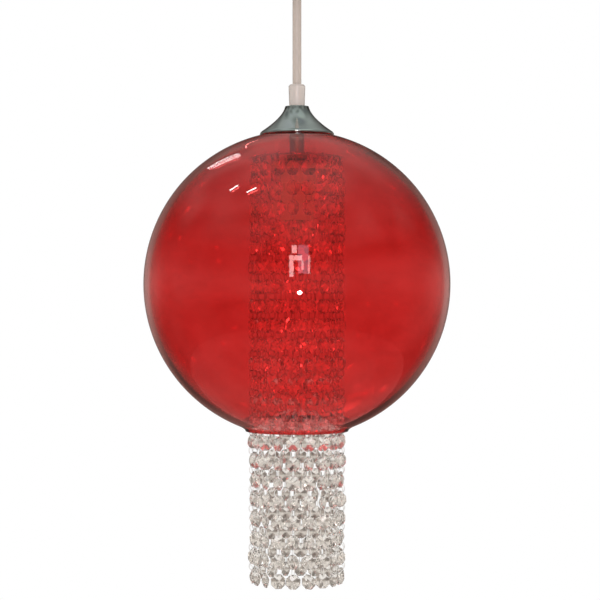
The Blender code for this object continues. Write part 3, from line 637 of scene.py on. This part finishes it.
half = globe["lipWall"] / 2
outline = wallOf(globe["radius"], 0.0, globe["mouth"], half)
outline += curveOf((globe["mouth"] - half, globeLow + half), half, pi / 2, 3 * pi / 2, 10)[1:-1]
outline += wallOf(globe["radius"] - globe["wall"], globe["thickWall"] - globe["wall"],
                  globe["mouth"] - globe["lipWall"], half)[::-1]
between = globe["radius"] - globe["wall"] / 2
start = asin(globe["topHole"] / between)
brim = (between * sin(start), globeMiddle + between * cos(start))
outline += curveOf(brim, globe["wall"] / 2, start + pi, start + 2 * pi, 8)[1:-1]
addPiece("globe_glass", turn("globe_glass", outline, globe["segments"], sharpAngle=pi), redGlass, "lamp",
         "red_blown_glass", "globe")
print("cap and globe made")


# Strand plate, lampholder and bulb

plateLow, plateHigh, plateRadius = spot("strand_plate")
strands = {
    "count": 18,
    "firstAngle": radians(-94.8),
    "circle": plateRadius - 0.005,
    "pitch": 0.01885,
    "upperBeads": 14,
    "lowerBeads": 8,
    "hole": 0.0013,  # radius of the plate's holes
    "turn": radians(48),  # most that a bead hangs turned from facing outward
    "tilt": radians(3),
    "seed": 7,
}


def strandAngle(i):
    return strands["firstAngle"] + 2 * pi * i / strands["count"]


plate = turn("hanging_plate", band(tubeHole, plateRadius, plateLow, plateHigh, 0.0004, 0.0004), 144)
bm = bmesh.new()
for i in range(strands["count"]):
    a = strandAngle(i)
    at = Matrix.Translation((strands["circle"] * cos(a), strands["circle"] * sin(a), (plateLow + plateHigh) / 2))
    bmesh.ops.create_cone(bm, cap_ends=True, segments=16, radius1=strands["hole"], radius2=strands["hole"],
                          depth=0.01, matrix=at)
plate = drilled("plate", plate, meshFrom("plate_holes", bm))
plate.set_sharp_from_angle(angle=radians(30))
addPiece("hanging_plate", plate, chrome, "lamp", "chrome_plate", "strand_plate")

holder = {
    "ribs": 36,
    "ribDepth": 0.0005,
    "shoulder": 0.006,  # drop from its top to the ribs
    "boss": 0.010,
    "bore": 0.0142,
    "collar": 0.008,
}
low, high, radius = spot("lampholder_cap")
shoulder, boss = high - holder["shoulder"], holder["boss"]


def ribbed(r, z, a):
    onRibs = abs(r - radius) < 1e-9
    return r - holder["ribDepth"] * (1 - abs(cos(holder["ribs"] * a / 2))) if onRibs else r


addPiece("holder_cap", turn("holder_cap", [
    (tubeHole, high), (boss - 0.0004, high), (boss, high - 0.0004), (radius - 0.0008, shoulder + 0.0003),
    (radius - 0.0002, shoulder - 0.0006), (radius, shoulder - 0.0012), (radius, low + 0.0012),
    (radius - 0.0008, low), (radius - 0.0022, low), (radius - 0.0022, shoulder - 0.0022),
    (boss, high - 0.0044), (tubeHole, high - 0.0044),
], 4 * holder["ribs"], ribbed), holderPlastic, "lamp", "white_thermoplastic", "lampholder_cap")

low, high, radius = spot("lampholder_shell")
bore, collarLow = holder["bore"], high - holder["collar"]
addPiece("holder_shell", turn("holder_shell", [
    (bore, low + 0.0003), (bore + 0.0003, low), (radius - 0.0035, low), (radius - 0.0030, low + 0.0005),
    (radius - 0.0030, collarLow - 0.0030), (radius - 0.0012, collarLow - 0.0012),
    (radius, collarLow), (radius, high - 0.0006), (radius - 0.0006, high), (bore, high),
], 4 * holder["ribs"], ribbed), holderPlastic, "lamp", "white_thermoplastic", "lampholder_shell")

low, high, radius = spot("lampholder_contact")
addPiece("contact_insert", turn("contact_insert", band(0, radius, low, high, 0.0006, 0.0006), 64), ceramic,
         "lamp", "glazed_ceramic", "lampholder_contact")

low, high, _ = spot("lampholder_lead")
stripped = gripLow + tube["inGrip"] + 0.0009  # where the jacket ends, just above the tube
addPiece("lead_jacket", turn("lead_jacket", [
    (0, stripped), (flex["radius"] - 0.0003, stripped), (flex["radius"], stripped + 0.0003), (flex["radius"], high),
    (0, high),
], 48), clearPvc, "lamp", "clear_pvc_flex", "lampholder_lead")
leadCores = meshFromTree("lead_cores", coreTree, {
    "Cores": flex["cores"], "Core Radius": flex["coreRadius"], "Circle": 0.0015,
    "Lay Length": flex["layLength"], "Bottom": low, "Top": stripped + millimetre, "Steps": 60, "Material": coreSkin,
})
leadCores.shade_smooth()
addPiece("lead_cores", leadCores, None, "lamp", "clear_pvc_flex")

bulb = {
    "capRadius": 0.0130,
    "radius": 0.0225,
    "neck": 0.012,
    "wall": 0.001,
    "threadPitch": 0.0036,
    "threadDepth": 0.0011,
}
low, high, _ = spot("bulb_screw_cap")
threadLow, threadHigh = low + 0.003, high - 0.0045
skirt = bulb["capRadius"] - 0.0003
addPiece("bulb_cap", threadedTube("bulb_cap", [
    (bulb["capRadius"] - 0.0012, threadLow),
    (bulb["capRadius"] - 0.0014, high - 0.004), (0.0075, high - 0.0014), (0.0052, high - 0.001), (0.0048, high),
    (0, high), (0, high - 0.005),
    (bulb["capRadius"] - 0.0024, high - 0.006), (bulb["capRadius"] - 0.0024, low + 0.0004),
    (bulb["capRadius"] - 0.002, low), (skirt - 0.0006, low), (skirt - 0.0006, low + 0.002),
], bulb["capRadius"], bulb["threadDepth"], bulb["threadPitch"], threadLow, threadHigh, 72, 10),
    nickelBrass, "bulb", "nickel_plated_brass", "bulb_screw_cap")

low, high, _ = spot("bulb_glass")
neck = bulb["neck"]
bulbMiddle = low + bulb["radius"]
outline = []
for wall, inwards in ((0.0, False), (bulb["wall"], True)):
    radius = bulb["radius"] - wall
    foot = asin((neck - wall + 0.002) / radius)
    side = [(neck - wall, high), (neck - wall, high - 0.004), (neck - wall + 0.0006, high - 0.0058)]
    side += curveOf((0, bulbMiddle), radius, foot, pi, 40)
    side[-1] = (0, side[-1][1])
    outline += side[::-1] if inwards else side
first = next(i for i, point in enumerate(outline) if point[0] == 0)
outline = outline[first + 1:] + outline[:first + 1]
addPiece("bulb_envelope", turn("bulb_envelope", outline, 96), bulbGlass, "bulb", "clear_bulb_glass", "bulb_glass")

stemTop = high - 0.001
addPiece("bulb_stem", turn("bulb_stem", [
    (0, stemTop), (0.0065, stemTop), (0.0058, stemTop - 0.004), (0.0030, stemTop - 0.010), (0.0024, stemTop - 0.016),
    (0.0016, stemTop - 0.021), (0, stemTop - 0.022),
], 32), bulbGlass, "bulb", "clear_bulb_glass")


def makeFilamentTree():
    # A coil between two support wires, bowed down in the middle
    tree, given = startTree("Filament", {
        "Length": "Float", "Coil Radius": "Float", "Turns": "Float", "Wire": "Float", "Sag": "Float",
        "Middle": "Float", "Support Top": "Float", "Material": "Material",
    })
    half = addNode(tree, "ShaderNodeMath", {0: given["Length"], 1: 0.5}, operation="MULTIPLY")
    back = addNode(tree, "ShaderNodeMath", {0: half, 1: -1.0}, operation="MULTIPLY")
    straight = addNode(tree, "GeometryNodeCurvePrimitiveLine", {
        "Start": addNode(tree, "ShaderNodeCombineXYZ", {"X": back, "Z": given["Middle"]}),
        "End": addNode(tree, "ShaderNodeCombineXYZ", {"X": half, "Z": given["Middle"]}),
    })
    steps = addNode(tree, "GeometryNodeResampleCurve", {"Curve": straight, "Count": 260})
    share = addNode(tree, "GeometryNodeSplineParameter")
    angle = addNode(tree, "ShaderNodeMath", {0: share.outputs["Factor"], 1: given["Turns"]}, operation="MULTIPLY")
    wound = addNode(tree, "ShaderNodeMath", {0: angle, 1: 2 * pi}, operation="MULTIPLY")
    sideways, upward = onCircle(tree, wound, given["Coil Radius"])
    halfTurn = addNode(tree, "ShaderNodeMath", {0: share.outputs["Factor"], 1: pi}, operation="MULTIPLY")
    bow = addNode(tree, "ShaderNodeMath", {0: addNode(tree, "ShaderNodeMath", {0: halfTurn}, operation="SINE"),
                                           1: given["Sag"]}, operation="MULTIPLY")
    height = addNode(tree, "ShaderNodeMath", {0: upward, 1: bow}, operation="SUBTRACT")
    coil = addNode(tree, "GeometryNodeSetPosition", {
        "Geometry": steps, "Offset": addNode(tree, "ShaderNodeCombineXYZ", {"Y": sideways, "Z": height}),
    })
    ends = addNode(tree, "GeometryNodeCurvePrimitiveLine", {
        "Start": addNode(tree, "ShaderNodeCombineXYZ", {"X": half, "Z": given["Middle"]}),
        "End": addNode(tree, "ShaderNodeCombineXYZ", {"X": 0.0016, "Z": given["Support Top"]}),
    })
    otherEnd = addNode(tree, "GeometryNodeTransform", {"Geometry": ends, "Rotation": (0, 0, pi)})
    joined = addNode(tree, "GeometryNodeJoinGeometry", {"Geometry": [coil, ends, otherEnd]})
    circle = addNode(tree, "GeometryNodeCurvePrimitiveCircle", {"Resolution": 6, "Radius": given["Wire"]})
    wire = addNode(tree, "GeometryNodeCurveToMesh", {"Curve": joined, "Profile Curve": circle, "Fill Caps": True})
    real = addNode(tree, "GeometryNodeRealizeInstances", {"Geometry": wire})
    coated = addNode(tree, "GeometryNodeSetMaterial", {"Geometry": real, "Material": given["Material"]})
    addNode(tree, "NodeGroupOutput", {"Geometry": coated})
    return tree


filament = meshFromTree("bulb_filament", makeFilamentTree(), {
    "Length": 0.016, "Coil Radius": 0.0006, "Turns": 16.0, "Wire": 0.00018, "Sag": 0.002, "Middle": bulbMiddle - 0.001,
    "Support Top": stemTop - 0.014, "Material": tungsten,
})
filament.shade_smooth()
addPiece("bulb_filament", filament, None, "bulb", "nickel_plated_brass")
print("plate, lampholder and bulb made")


# Strands of cut crystals

bead = {
    "width": 0.014,  # across the flats
    "thickness": 0.0078,
    "girdle": 0.0014,  # thickness at the edge
    "crown": 0.0054,  # radius of the points between the kite facets
    "hole": 0.0008,
    "holeInset": 0.0016,
}
ringShape = {"radius": 0.0041, "wire": 0.00036, "around": 16, "section": 6}


def cutOctagon():
    # Each face has eight kite facets that meet in the middle and eight triangles along the edge.
    # Local X is the bead's thickness, Z its height.
    bm = bmesh.new()
    corner = bead["width"] / 2 / cos(pi / 8)
    point, rim = bead["thickness"] / 2, bead["girdle"] / 2
    reach = bead["crown"] * cos(pi / 8)
    crownHeight = point - (point - rim) * reach / corner
    faces = {}
    for way in (-1, 1):
        apex = bm.verts.new((way * point, 0, 0))
        corners, crowns = [], []
        for k in range(8):
            a = pi / 8 + k * pi / 4
            corners.append(bm.verts.new((way * rim, corner * cos(a), corner * sin(a))))
            b = a + pi / 8
            crowns.append(bm.verts.new((way * crownHeight, bead["crown"] * cos(b), bead["crown"] * sin(b))))
        for k in range(8):
            bm.faces.new((apex, crowns[k - 1], corners[k], crowns[k]))
            bm.faces.new((crowns[k], corners[k], corners[(k + 1) % 8]))
        faces[way] = corners
    for k in range(8):
        after = (k + 1) % 8
        bm.faces.new((faces[-1][k], faces[-1][after], faces[1][after], faces[1][k]))
    bmesh.ops.recalc_face_normals(bm, faces=bm.faces)
    mesh = bpy.data.meshes.new("cut_octagon")
    bm.to_mesh(mesh)
    bm.free()
    return mesh


def torus(name, radius, wire, around, section):
    # Its axis is local Y, so that it stands in the plane that goes through the strand and the lamp's axis
    outline = [(radius + wire * cos(2 * pi * j / section), wire * sin(2 * pi * j / section)) for j in range(section)]
    mesh = turn(name, outline, around, sharpAngle=pi)
    mesh.transform(Matrix.Rotation(pi / 2, 4, "X"))
    return mesh


bm = bmesh.new()
for way in (-1, 1):
    at = Matrix.Translation((0, 0, way * (bead["width"] / 2 - bead["holeInset"]))) @ Matrix.Rotation(pi / 2, 4, "Y")
    bmesh.ops.create_cone(bm, cap_ends=True, segments=6, radius1=bead["hole"], radius2=bead["hole"], depth=0.02,
                          matrix=at)
beadSource = placeObject("bead_source", drilled("bead", cutOctagon(), meshFrom("bead_holes", bm)))
ringSource = placeObject("ring_source", torus("ring_source", **ringShape))


def hangerMesh():
    # A headed pin with an eye below, and the small ring that joins the eye to the first bead.
    # Its origin is the middle of the first bead.
    head = plateHigh + 0.0003 - firstUpper
    eye, small, wire = 0.0011, 0.0019, 0.0004
    pinLow = plateLow - firstUpper - 0.0006
    pin = turn("pin", [(0, head + 0.001), (0.0016, head + 0.001), (0.002, head + 0.0006), (0.002, head + 0.0002),
                       (0.0016, head), (wire, head), (wire, pinLow), (0, pinLow)], 12)
    eyeMiddle = pinLow - eye
    loop = turn("loop", [(eye + wire * cos(pi * j / 3), wire * sin(pi * j / 3)) for j in range(6)], 14, sharpAngle=pi)
    loop.transform(Matrix.Translation((0, 0, eyeMiddle)) @ Matrix.Rotation(pi / 2, 4, "Y"))
    holeHeight = bead["width"] / 2 - bead["holeInset"]
    smallMiddle = (holeHeight + eyeMiddle - eye) / 2
    link = torus("link", (eyeMiddle - eye - holeHeight) / 2 + wire, wire, 14, 6)
    link.transform(Matrix.Translation((0, 0, smallMiddle)))
    bm = bmesh.new()
    for mesh in (pin, loop, link):
        bm.from_mesh(mesh)
    return smoothMesh("hanger", bm, radians(35))


mouthLink = globeLow
pitch = strands["pitch"]
firstUpper = mouthLink + pitch * (strands["upperBeads"] - 0.5)
hangerSource = placeObject("hanger_source", hangerMesh())


def addRow(tree, given, perStrand, first, part, material, looseness, seed):
    # One kind of part on every strand: points down each strand, and the part on each, facing outward
    total = addNode(tree, "ShaderNodeMath", {0: given["Strands"], 1: perStrand}, operation="MULTIPLY")
    points = addNode(tree, "GeometryNodeMeshLine", {"Count": total, "Offset": (0, 0, 0)})
    index = addNode(tree, "GeometryNodeInputIndex")
    share = addNode(tree, "ShaderNodeMath", {0: index, 1: perStrand}, operation="DIVIDE")
    strand = addNode(tree, "ShaderNodeMath", {0: share}, operation="FLOOR")
    level = addNode(tree, "ShaderNodeMath", {0: index, 1: perStrand}, operation="MODULO")
    angle = addNode(tree, "ShaderNodeMath", {0: strand, 1: given["Angle Step"], 2: given["First Angle"]},
                    operation="MULTIPLY_ADD")
    x, y = onCircle(tree, angle, given["Circle"])
    drop = addNode(tree, "ShaderNodeMath", {0: level, 1: given["Pitch"]}, operation="MULTIPLY")
    z = addNode(tree, "ShaderNodeMath", {0: first, 1: drop}, operation="SUBTRACT")
    placed = addNode(tree, "GeometryNodeSetPosition", {
        "Geometry": points, "Position": addNode(tree, "ShaderNodeCombineXYZ", {"X": x, "Y": y, "Z": z}),
    })
    tilt = addNode(tree, "ShaderNodeMath", {0: given["Tilt"], 1: looseness}, operation="MULTIPLY")
    swing = addNode(tree, "ShaderNodeMath", {0: given["Turn"], 1: looseness}, operation="MULTIPLY")
    most = addNode(tree, "ShaderNodeCombineXYZ", {"X": tilt, "Y": tilt, "Z": swing})
    least = addNode(tree, "ShaderNodeVectorMath", {0: most, "Scale": -1.0}, operation="SCALE")
    loose = addNode(tree, "FunctionNodeRandomValue", {"Min": least, "Max": most, "Seed": addNode(
        tree, "ShaderNodeMath", {0: given["Seed"], 1: seed}, operation="ADD")}, data_type="FLOAT_VECTOR")
    facing = addNode(tree, "ShaderNodeCombineXYZ", {"Z": angle})
    turned = addNode(tree, "ShaderNodeVectorMath", {0: facing, 1: loose}, operation="ADD")
    source = addNode(tree, "GeometryNodeObjectInfo", {"Object": part})
    copies = addNode(tree, "GeometryNodeInstanceOnPoints", {
        "Points": placed, "Instance": source.outputs["Geometry"], "Rotation": turned,
    })
    real = addNode(tree, "GeometryNodeRealizeInstances", {"Geometry": copies})
    return addNode(tree, "GeometryNodeSetMaterial", {"Geometry": real, "Material": material})


def makeStrandTree():
    tree, given = startTree("Crystal strands", {
        "Strands": "Int", "Circle": "Float", "First Angle": "Float", "Angle Step": "Float", "Pitch": "Float",
        "Beads": "Int", "First Bead": "Float", "Rings": "Int", "First Ring": "Float", "Hangers": "Int",
        "Turn": "Float", "Tilt": "Float", "Seed": "Int",
        "Bead": "Object", "Ring": "Object", "Hanger": "Object", "Crystal": "Material", "Wire": "Material",
    })
    beads = addRow(tree, given, given["Beads"], given["First Bead"], given["Bead"], given["Crystal"], 1.0, 0)
    rings = addRow(tree, given, given["Rings"], given["First Ring"], given["Ring"], given["Wire"], 0.8, 100)
    hangers = addRow(tree, given, given["Hangers"], given["First Bead"], given["Hanger"], given["Wire"], 0.0, 200)
    joined = addNode(tree, "GeometryNodeJoinGeometry", {"Geometry": [beads, rings, hangers]})
    addNode(tree, "NodeGroupOutput", {"Geometry": joined})
    return tree


strandTree = makeStrandTree()
shared = {
    "Circle": strands["circle"], "Angle Step": 2 * pi / strands["count"], "Pitch": pitch,
    "Turn": strands["turn"], "Tilt": strands["tilt"],
    "Bead": beadSource, "Ring": ringSource, "Hanger": hangerSource, "Crystal": crystal, "Wire": silverWire,
}
upper = meshFromTree("upper_strands", strandTree, {
    **shared, "Strands": strands["count"], "First Angle": strands["firstAngle"],
    "Beads": strands["upperBeads"], "First Bead": firstUpper,
    "Rings": strands["upperBeads"] - 1, "First Ring": firstUpper - pitch / 2, "Hangers": 1, "Seed": strands["seed"],
})
addPiece("upper_strands", upper, None, "lamp", "cut_crystal",
         *[f"strand_{i + 1:02d}_upper" for i in range(strands["count"])])
for i in range(strands["count"]):
    lower = meshFromTree(f"fringe_strand_{i + 1:02d}", strandTree, {
        **shared, "Strands": 1, "First Angle": strandAngle(i),
        "Beads": strands["lowerBeads"], "First Bead": mouthLink - pitch / 2,
        "Rings": strands["lowerBeads"], "First Ring": mouthLink, "Hangers": 0, "Seed": strands["seed"] + 1 + i,
    })
    addPiece(f"fringe_strand_{i + 1:02d}", lower, None, f"strand_{i + 1:02d}", "cut_crystal",
             f"strand_{i + 1:02d}_lower")
for each in (beadSource, ringSource, hangerSource):
    bpy.data.objects.remove(each)
print("strands made")


# Stage, light and surroundings

stage = {"below": 1.62, "radius": 2.6}
bm = bmesh.new()
bmesh.ops.create_circle(bm, cap_ends=True, segments=128, radius=stage["radius"],
                        matrix=Matrix.Translation((0, 0, globeMiddle - stage["below"])))
floor = placeObject("floor", meshFrom("floor", bm))
floor.data.materials.append(startMaterial("floor_paint", {"Base Color": linear("#f4f3f1"), "Roughness": 0.7})[0])
floor.visible_glossy = False

# Each light: where it stands from the middle of the globe, the way its width runs, width, height, brightness, colour
warm, rosy, violet = (1.0, 1.0, 1.0), (1.0, 0.86, 0.84), (0.86, 0.76, 1.0)
lights = {
    "front_spot": ((0.06, -1.70, -0.19), (1, 0, 0), 0.09, 0.09, 170.0, warm),
    "window_side": ((-0.16, -2.4, 0.52), (1, 0, 0), 0.13, 0.65, 8.0, rosy),
    "window_head": ((0.04, -2.4, 0.77), (1, 0, 0), 0.26, 0.16, 8.0, rosy),
    "window_post": ((0.17, -2.4, 0.54), (1, 0, 0), 0.065, 0.30, 6.0, rosy),
    "window_above": ((-0.08, -2.4, 1.07), (1, 0, 0), 0.16, 0.26, 8.0, rosy),
    "window_right": ((0.37, -2.4, 0.57), (1, 0, 0), 0.065, 0.55, 6.0, rosy),
    "window_blind": ((0.20, -2.45, 0.75), (1, 0, 0), 0.33, 0.91, 2.2, violet),
    "tube_low": ((-0.860, 1.540, 1.480), (0.53, -0.43, 0.73), 0.50, 0.014, 20.0, warm),
    "tube_middle": ((-0.890, 1.440, 1.545), (0.53, -0.43, 0.73), 0.50, 0.014, 20.0, warm),
    "tube_high": ((-0.920, 1.340, 1.610), (0.53, -0.43, 0.73), 0.44, 0.014, 20.0, warm),
    "strip_left": ((-1.094, 0.0, 1.674), (0.84, 0, 0.55), 0.17, 0.045, 26.0, warm),
    "strip_right": ((-0.854, -0.38, 1.768), (0.90, 0, 0.44), 0.20, 0.045, 26.0, warm),
}
shines = bpy.data.collections.new("globe_shines")  # the lamps whose small bright images lie on the globe alone
shines.objects.link(bpy.data.objects["globe_glass"])
for name, (place, along, width, height, radiance, colour) in lights.items():
    lamp = bpy.data.lights.new(name, "AREA")
    lamp.shape = "DISK" if name == "front_spot" else "RECTANGLE"
    lamp.size, lamp.size_y = width, height
    lamp.energy = radiance * pi * width * height
    lamp.color = colour
    lit = placeObject(name, lamp)
    lit.location = Vector(place) + Vector((0, 0, globeMiddle))
    outward = Vector(place).normalized()
    across = (Vector(along) - outward * outward.dot(Vector(along))).normalized()
    lit.rotation_euler = Matrix((across, outward.cross(across), outward)).transposed().to_euler()
    lit.visible_camera = False
    if name.startswith(("tube", "strip")):
        lit.light_linking.receiver_collection = shines

world = bpy.data.worlds.new("studio")
bpy.context.scene.world = world
world.use_nodes = True
tree = world.node_tree
tree.nodes.clear()
where = addNode(tree, "ShaderNodeTexCoord")
apart = addNode(tree, "ShaderNodeSeparateXYZ", {"Vector": where.outputs["Generated"]})
height = addNode(tree, "ShaderNodeMapRange", {"Value": apart.outputs["Z"], "From Min": -1.0, "From Max": 1.0})

# What is seen bent through glass: pale at eye level, then a duller room above and below, with small lamps in it.
# Light that has passed many walls of glass comes from a brighter part of the room.
light = addNode(tree, "ShaderNodeLightPath")
away = addNode(tree, "ShaderNodeMath", {0: apart.outputs["Z"]}, operation="ABSOLUTE")
dull = addNode(tree, "ShaderNodeValToRGB", {"Fac": away}, [
    (0.0, "#e9e5e0"), (0.05, "#dfdad4"), (0.14, "#bbb4ac"), (0.30, "#968c84"), (0.48, "#9a9189"), (0.66, "#bdb7af"),
    (1.0, "#d3cec8"),
])
clutter = addNode(tree, "ShaderNodeTexNoise", {"Vector": where.outputs["Generated"], "Scale": 2.4, "Detail": 0.0})
things = addNode(tree, "ShaderNodeMapRange", {"Value": clutter.outputs["Fac"], "From Min": 0.34, "From Max": 0.62,
                                              "To Min": 0.45, "To Max": 1.15})
steep = addNode(tree, "ShaderNodeMapRange", {"Value": away, "From Min": 0.12, "From Max": 0.26})
patchy = addNode(tree, "ShaderNodeMixRGB", {"Fac": steep.outputs["Result"], "Color1": (1, 1, 1, 1),
                                            "Color2": things.outputs["Result"]})
room = addNode(tree, "ShaderNodeMixRGB", {"Fac": 1.0, "Color1": dull, "Color2": patchy}, blend_type="MULTIPLY")
bright = addNode(tree, "ShaderNodeMapRange", {"Value": clutter.outputs["Fac"], "From Min": 0.36, "From Max": 0.60,
                                              "To Min": 1.15, "To Max": 1.7})
deep = addNode(tree, "ShaderNodeMapRange", {"Value": light.outputs["Transmission Depth"],
                                            "From Min": 2.5, "From Max": 6.0})
seenThrough = addNode(tree, "ShaderNodeMixRGB", {"Fac": deep.outputs["Result"], "Color1": room,
                                                 "Color2": bright.outputs["Result"]})
dots = addNode(tree, "ShaderNodeTexVoronoi", {"Vector": where.outputs["Generated"], "Scale": 5.0})
glint = addNode(tree, "ShaderNodeMapRange", {"Value": dots.outputs["Distance"], "From Min": 0.10, "From Max": 0.15,
                                             "To Min": 12.0, "To Max": 0.0})
inside = addNode(tree, "ShaderNodeMath", {0: deep.outputs["Result"], 1: steep.outputs["Result"]}, operation="MULTIPLY")
small = addNode(tree, "ShaderNodeMath", {0: glint.outputs["Result"], 1: inside}, operation="MULTIPLY")
sparkling = addNode(tree, "ShaderNodeMixRGB", {"Fac": 1.0, "Color1": seenThrough, "Color2": small}, blend_type="ADD")
# What polished faces mirror: a dim room, a little paler at eye level, with some colour in it
mirrored = addNode(tree, "ShaderNodeValToRGB", {"Fac": height}, [
    (0.0, "#7f766f"), (0.28, "#4a403c"), (0.38, "#5d524d"), (0.47, "#7d7570"), (0.53, "#7d7570"), (0.60, "#57504d"),
    (0.68, "#423b38"), (0.80, "#8b8c89"), (1.0, "#b6bbb8"),
])
contrast = addNode(tree, "ShaderNodeMapRange", {"Value": clutter.outputs["Fac"], "From Min": 0.36, "From Max": 0.62,
                                                "To Min": 0.7, "To Max": 1.3})
stained = addNode(tree, "ShaderNodeMixRGB", {"Fac": 0.2, "Color1": contrast.outputs["Result"],
                                             "Color2": clutter.outputs["Color"]}, blend_type="OVERLAY")
mirroredRoom = addNode(tree, "ShaderNodeMixRGB", {"Fac": 1.0, "Color1": mirrored, "Color2": stained},
                       blend_type="MULTIPLY")
mixed = addNode(tree, "ShaderNodeMixRGB", {"Fac": light.outputs["Is Reflection Ray"], "Color1": sparkling,
                                           "Color2": mirroredRoom})
soft = addNode(tree, "ShaderNodeMixRGB", {"Fac": light.outputs["Is Diffuse Ray"], "Color1": mixed,
                                          "Color2": (1.05, 1.04, 1.03, 1.0)})
white = addNode(tree, "ShaderNodeMixRGB", {"Fac": light.outputs["Is Camera Ray"], "Color1": soft,
                                           "Color2": linear("#ffffff")})
glow = addNode(tree, "ShaderNodeBackground", {"Color": white, "Strength": 1.0})
addNode(tree, "ShaderNodeOutputWorld", {"Surface": glow})

for name in ("canopy_cup", "thumb_screw_left", "thumb_screw_right", "canopy_grip_moulding", "canopy_hollow_bolt",
             "bracket_strap", "wire_terminals"):
    bpy.data.objects[name].visible_glossy = False  # it is far above on a real flex, so the cap doesn't mirror it

scene = bpy.context.scene
scene.view_settings.view_transform = "Standard"
scene.cycles.max_bounces = 32
scene.cycles.transmission_bounces = 32
scene.cycles.transparent_max_bounces = 24
scene.cycles.glossy_bounces = 6
print("stage, light and camera made")
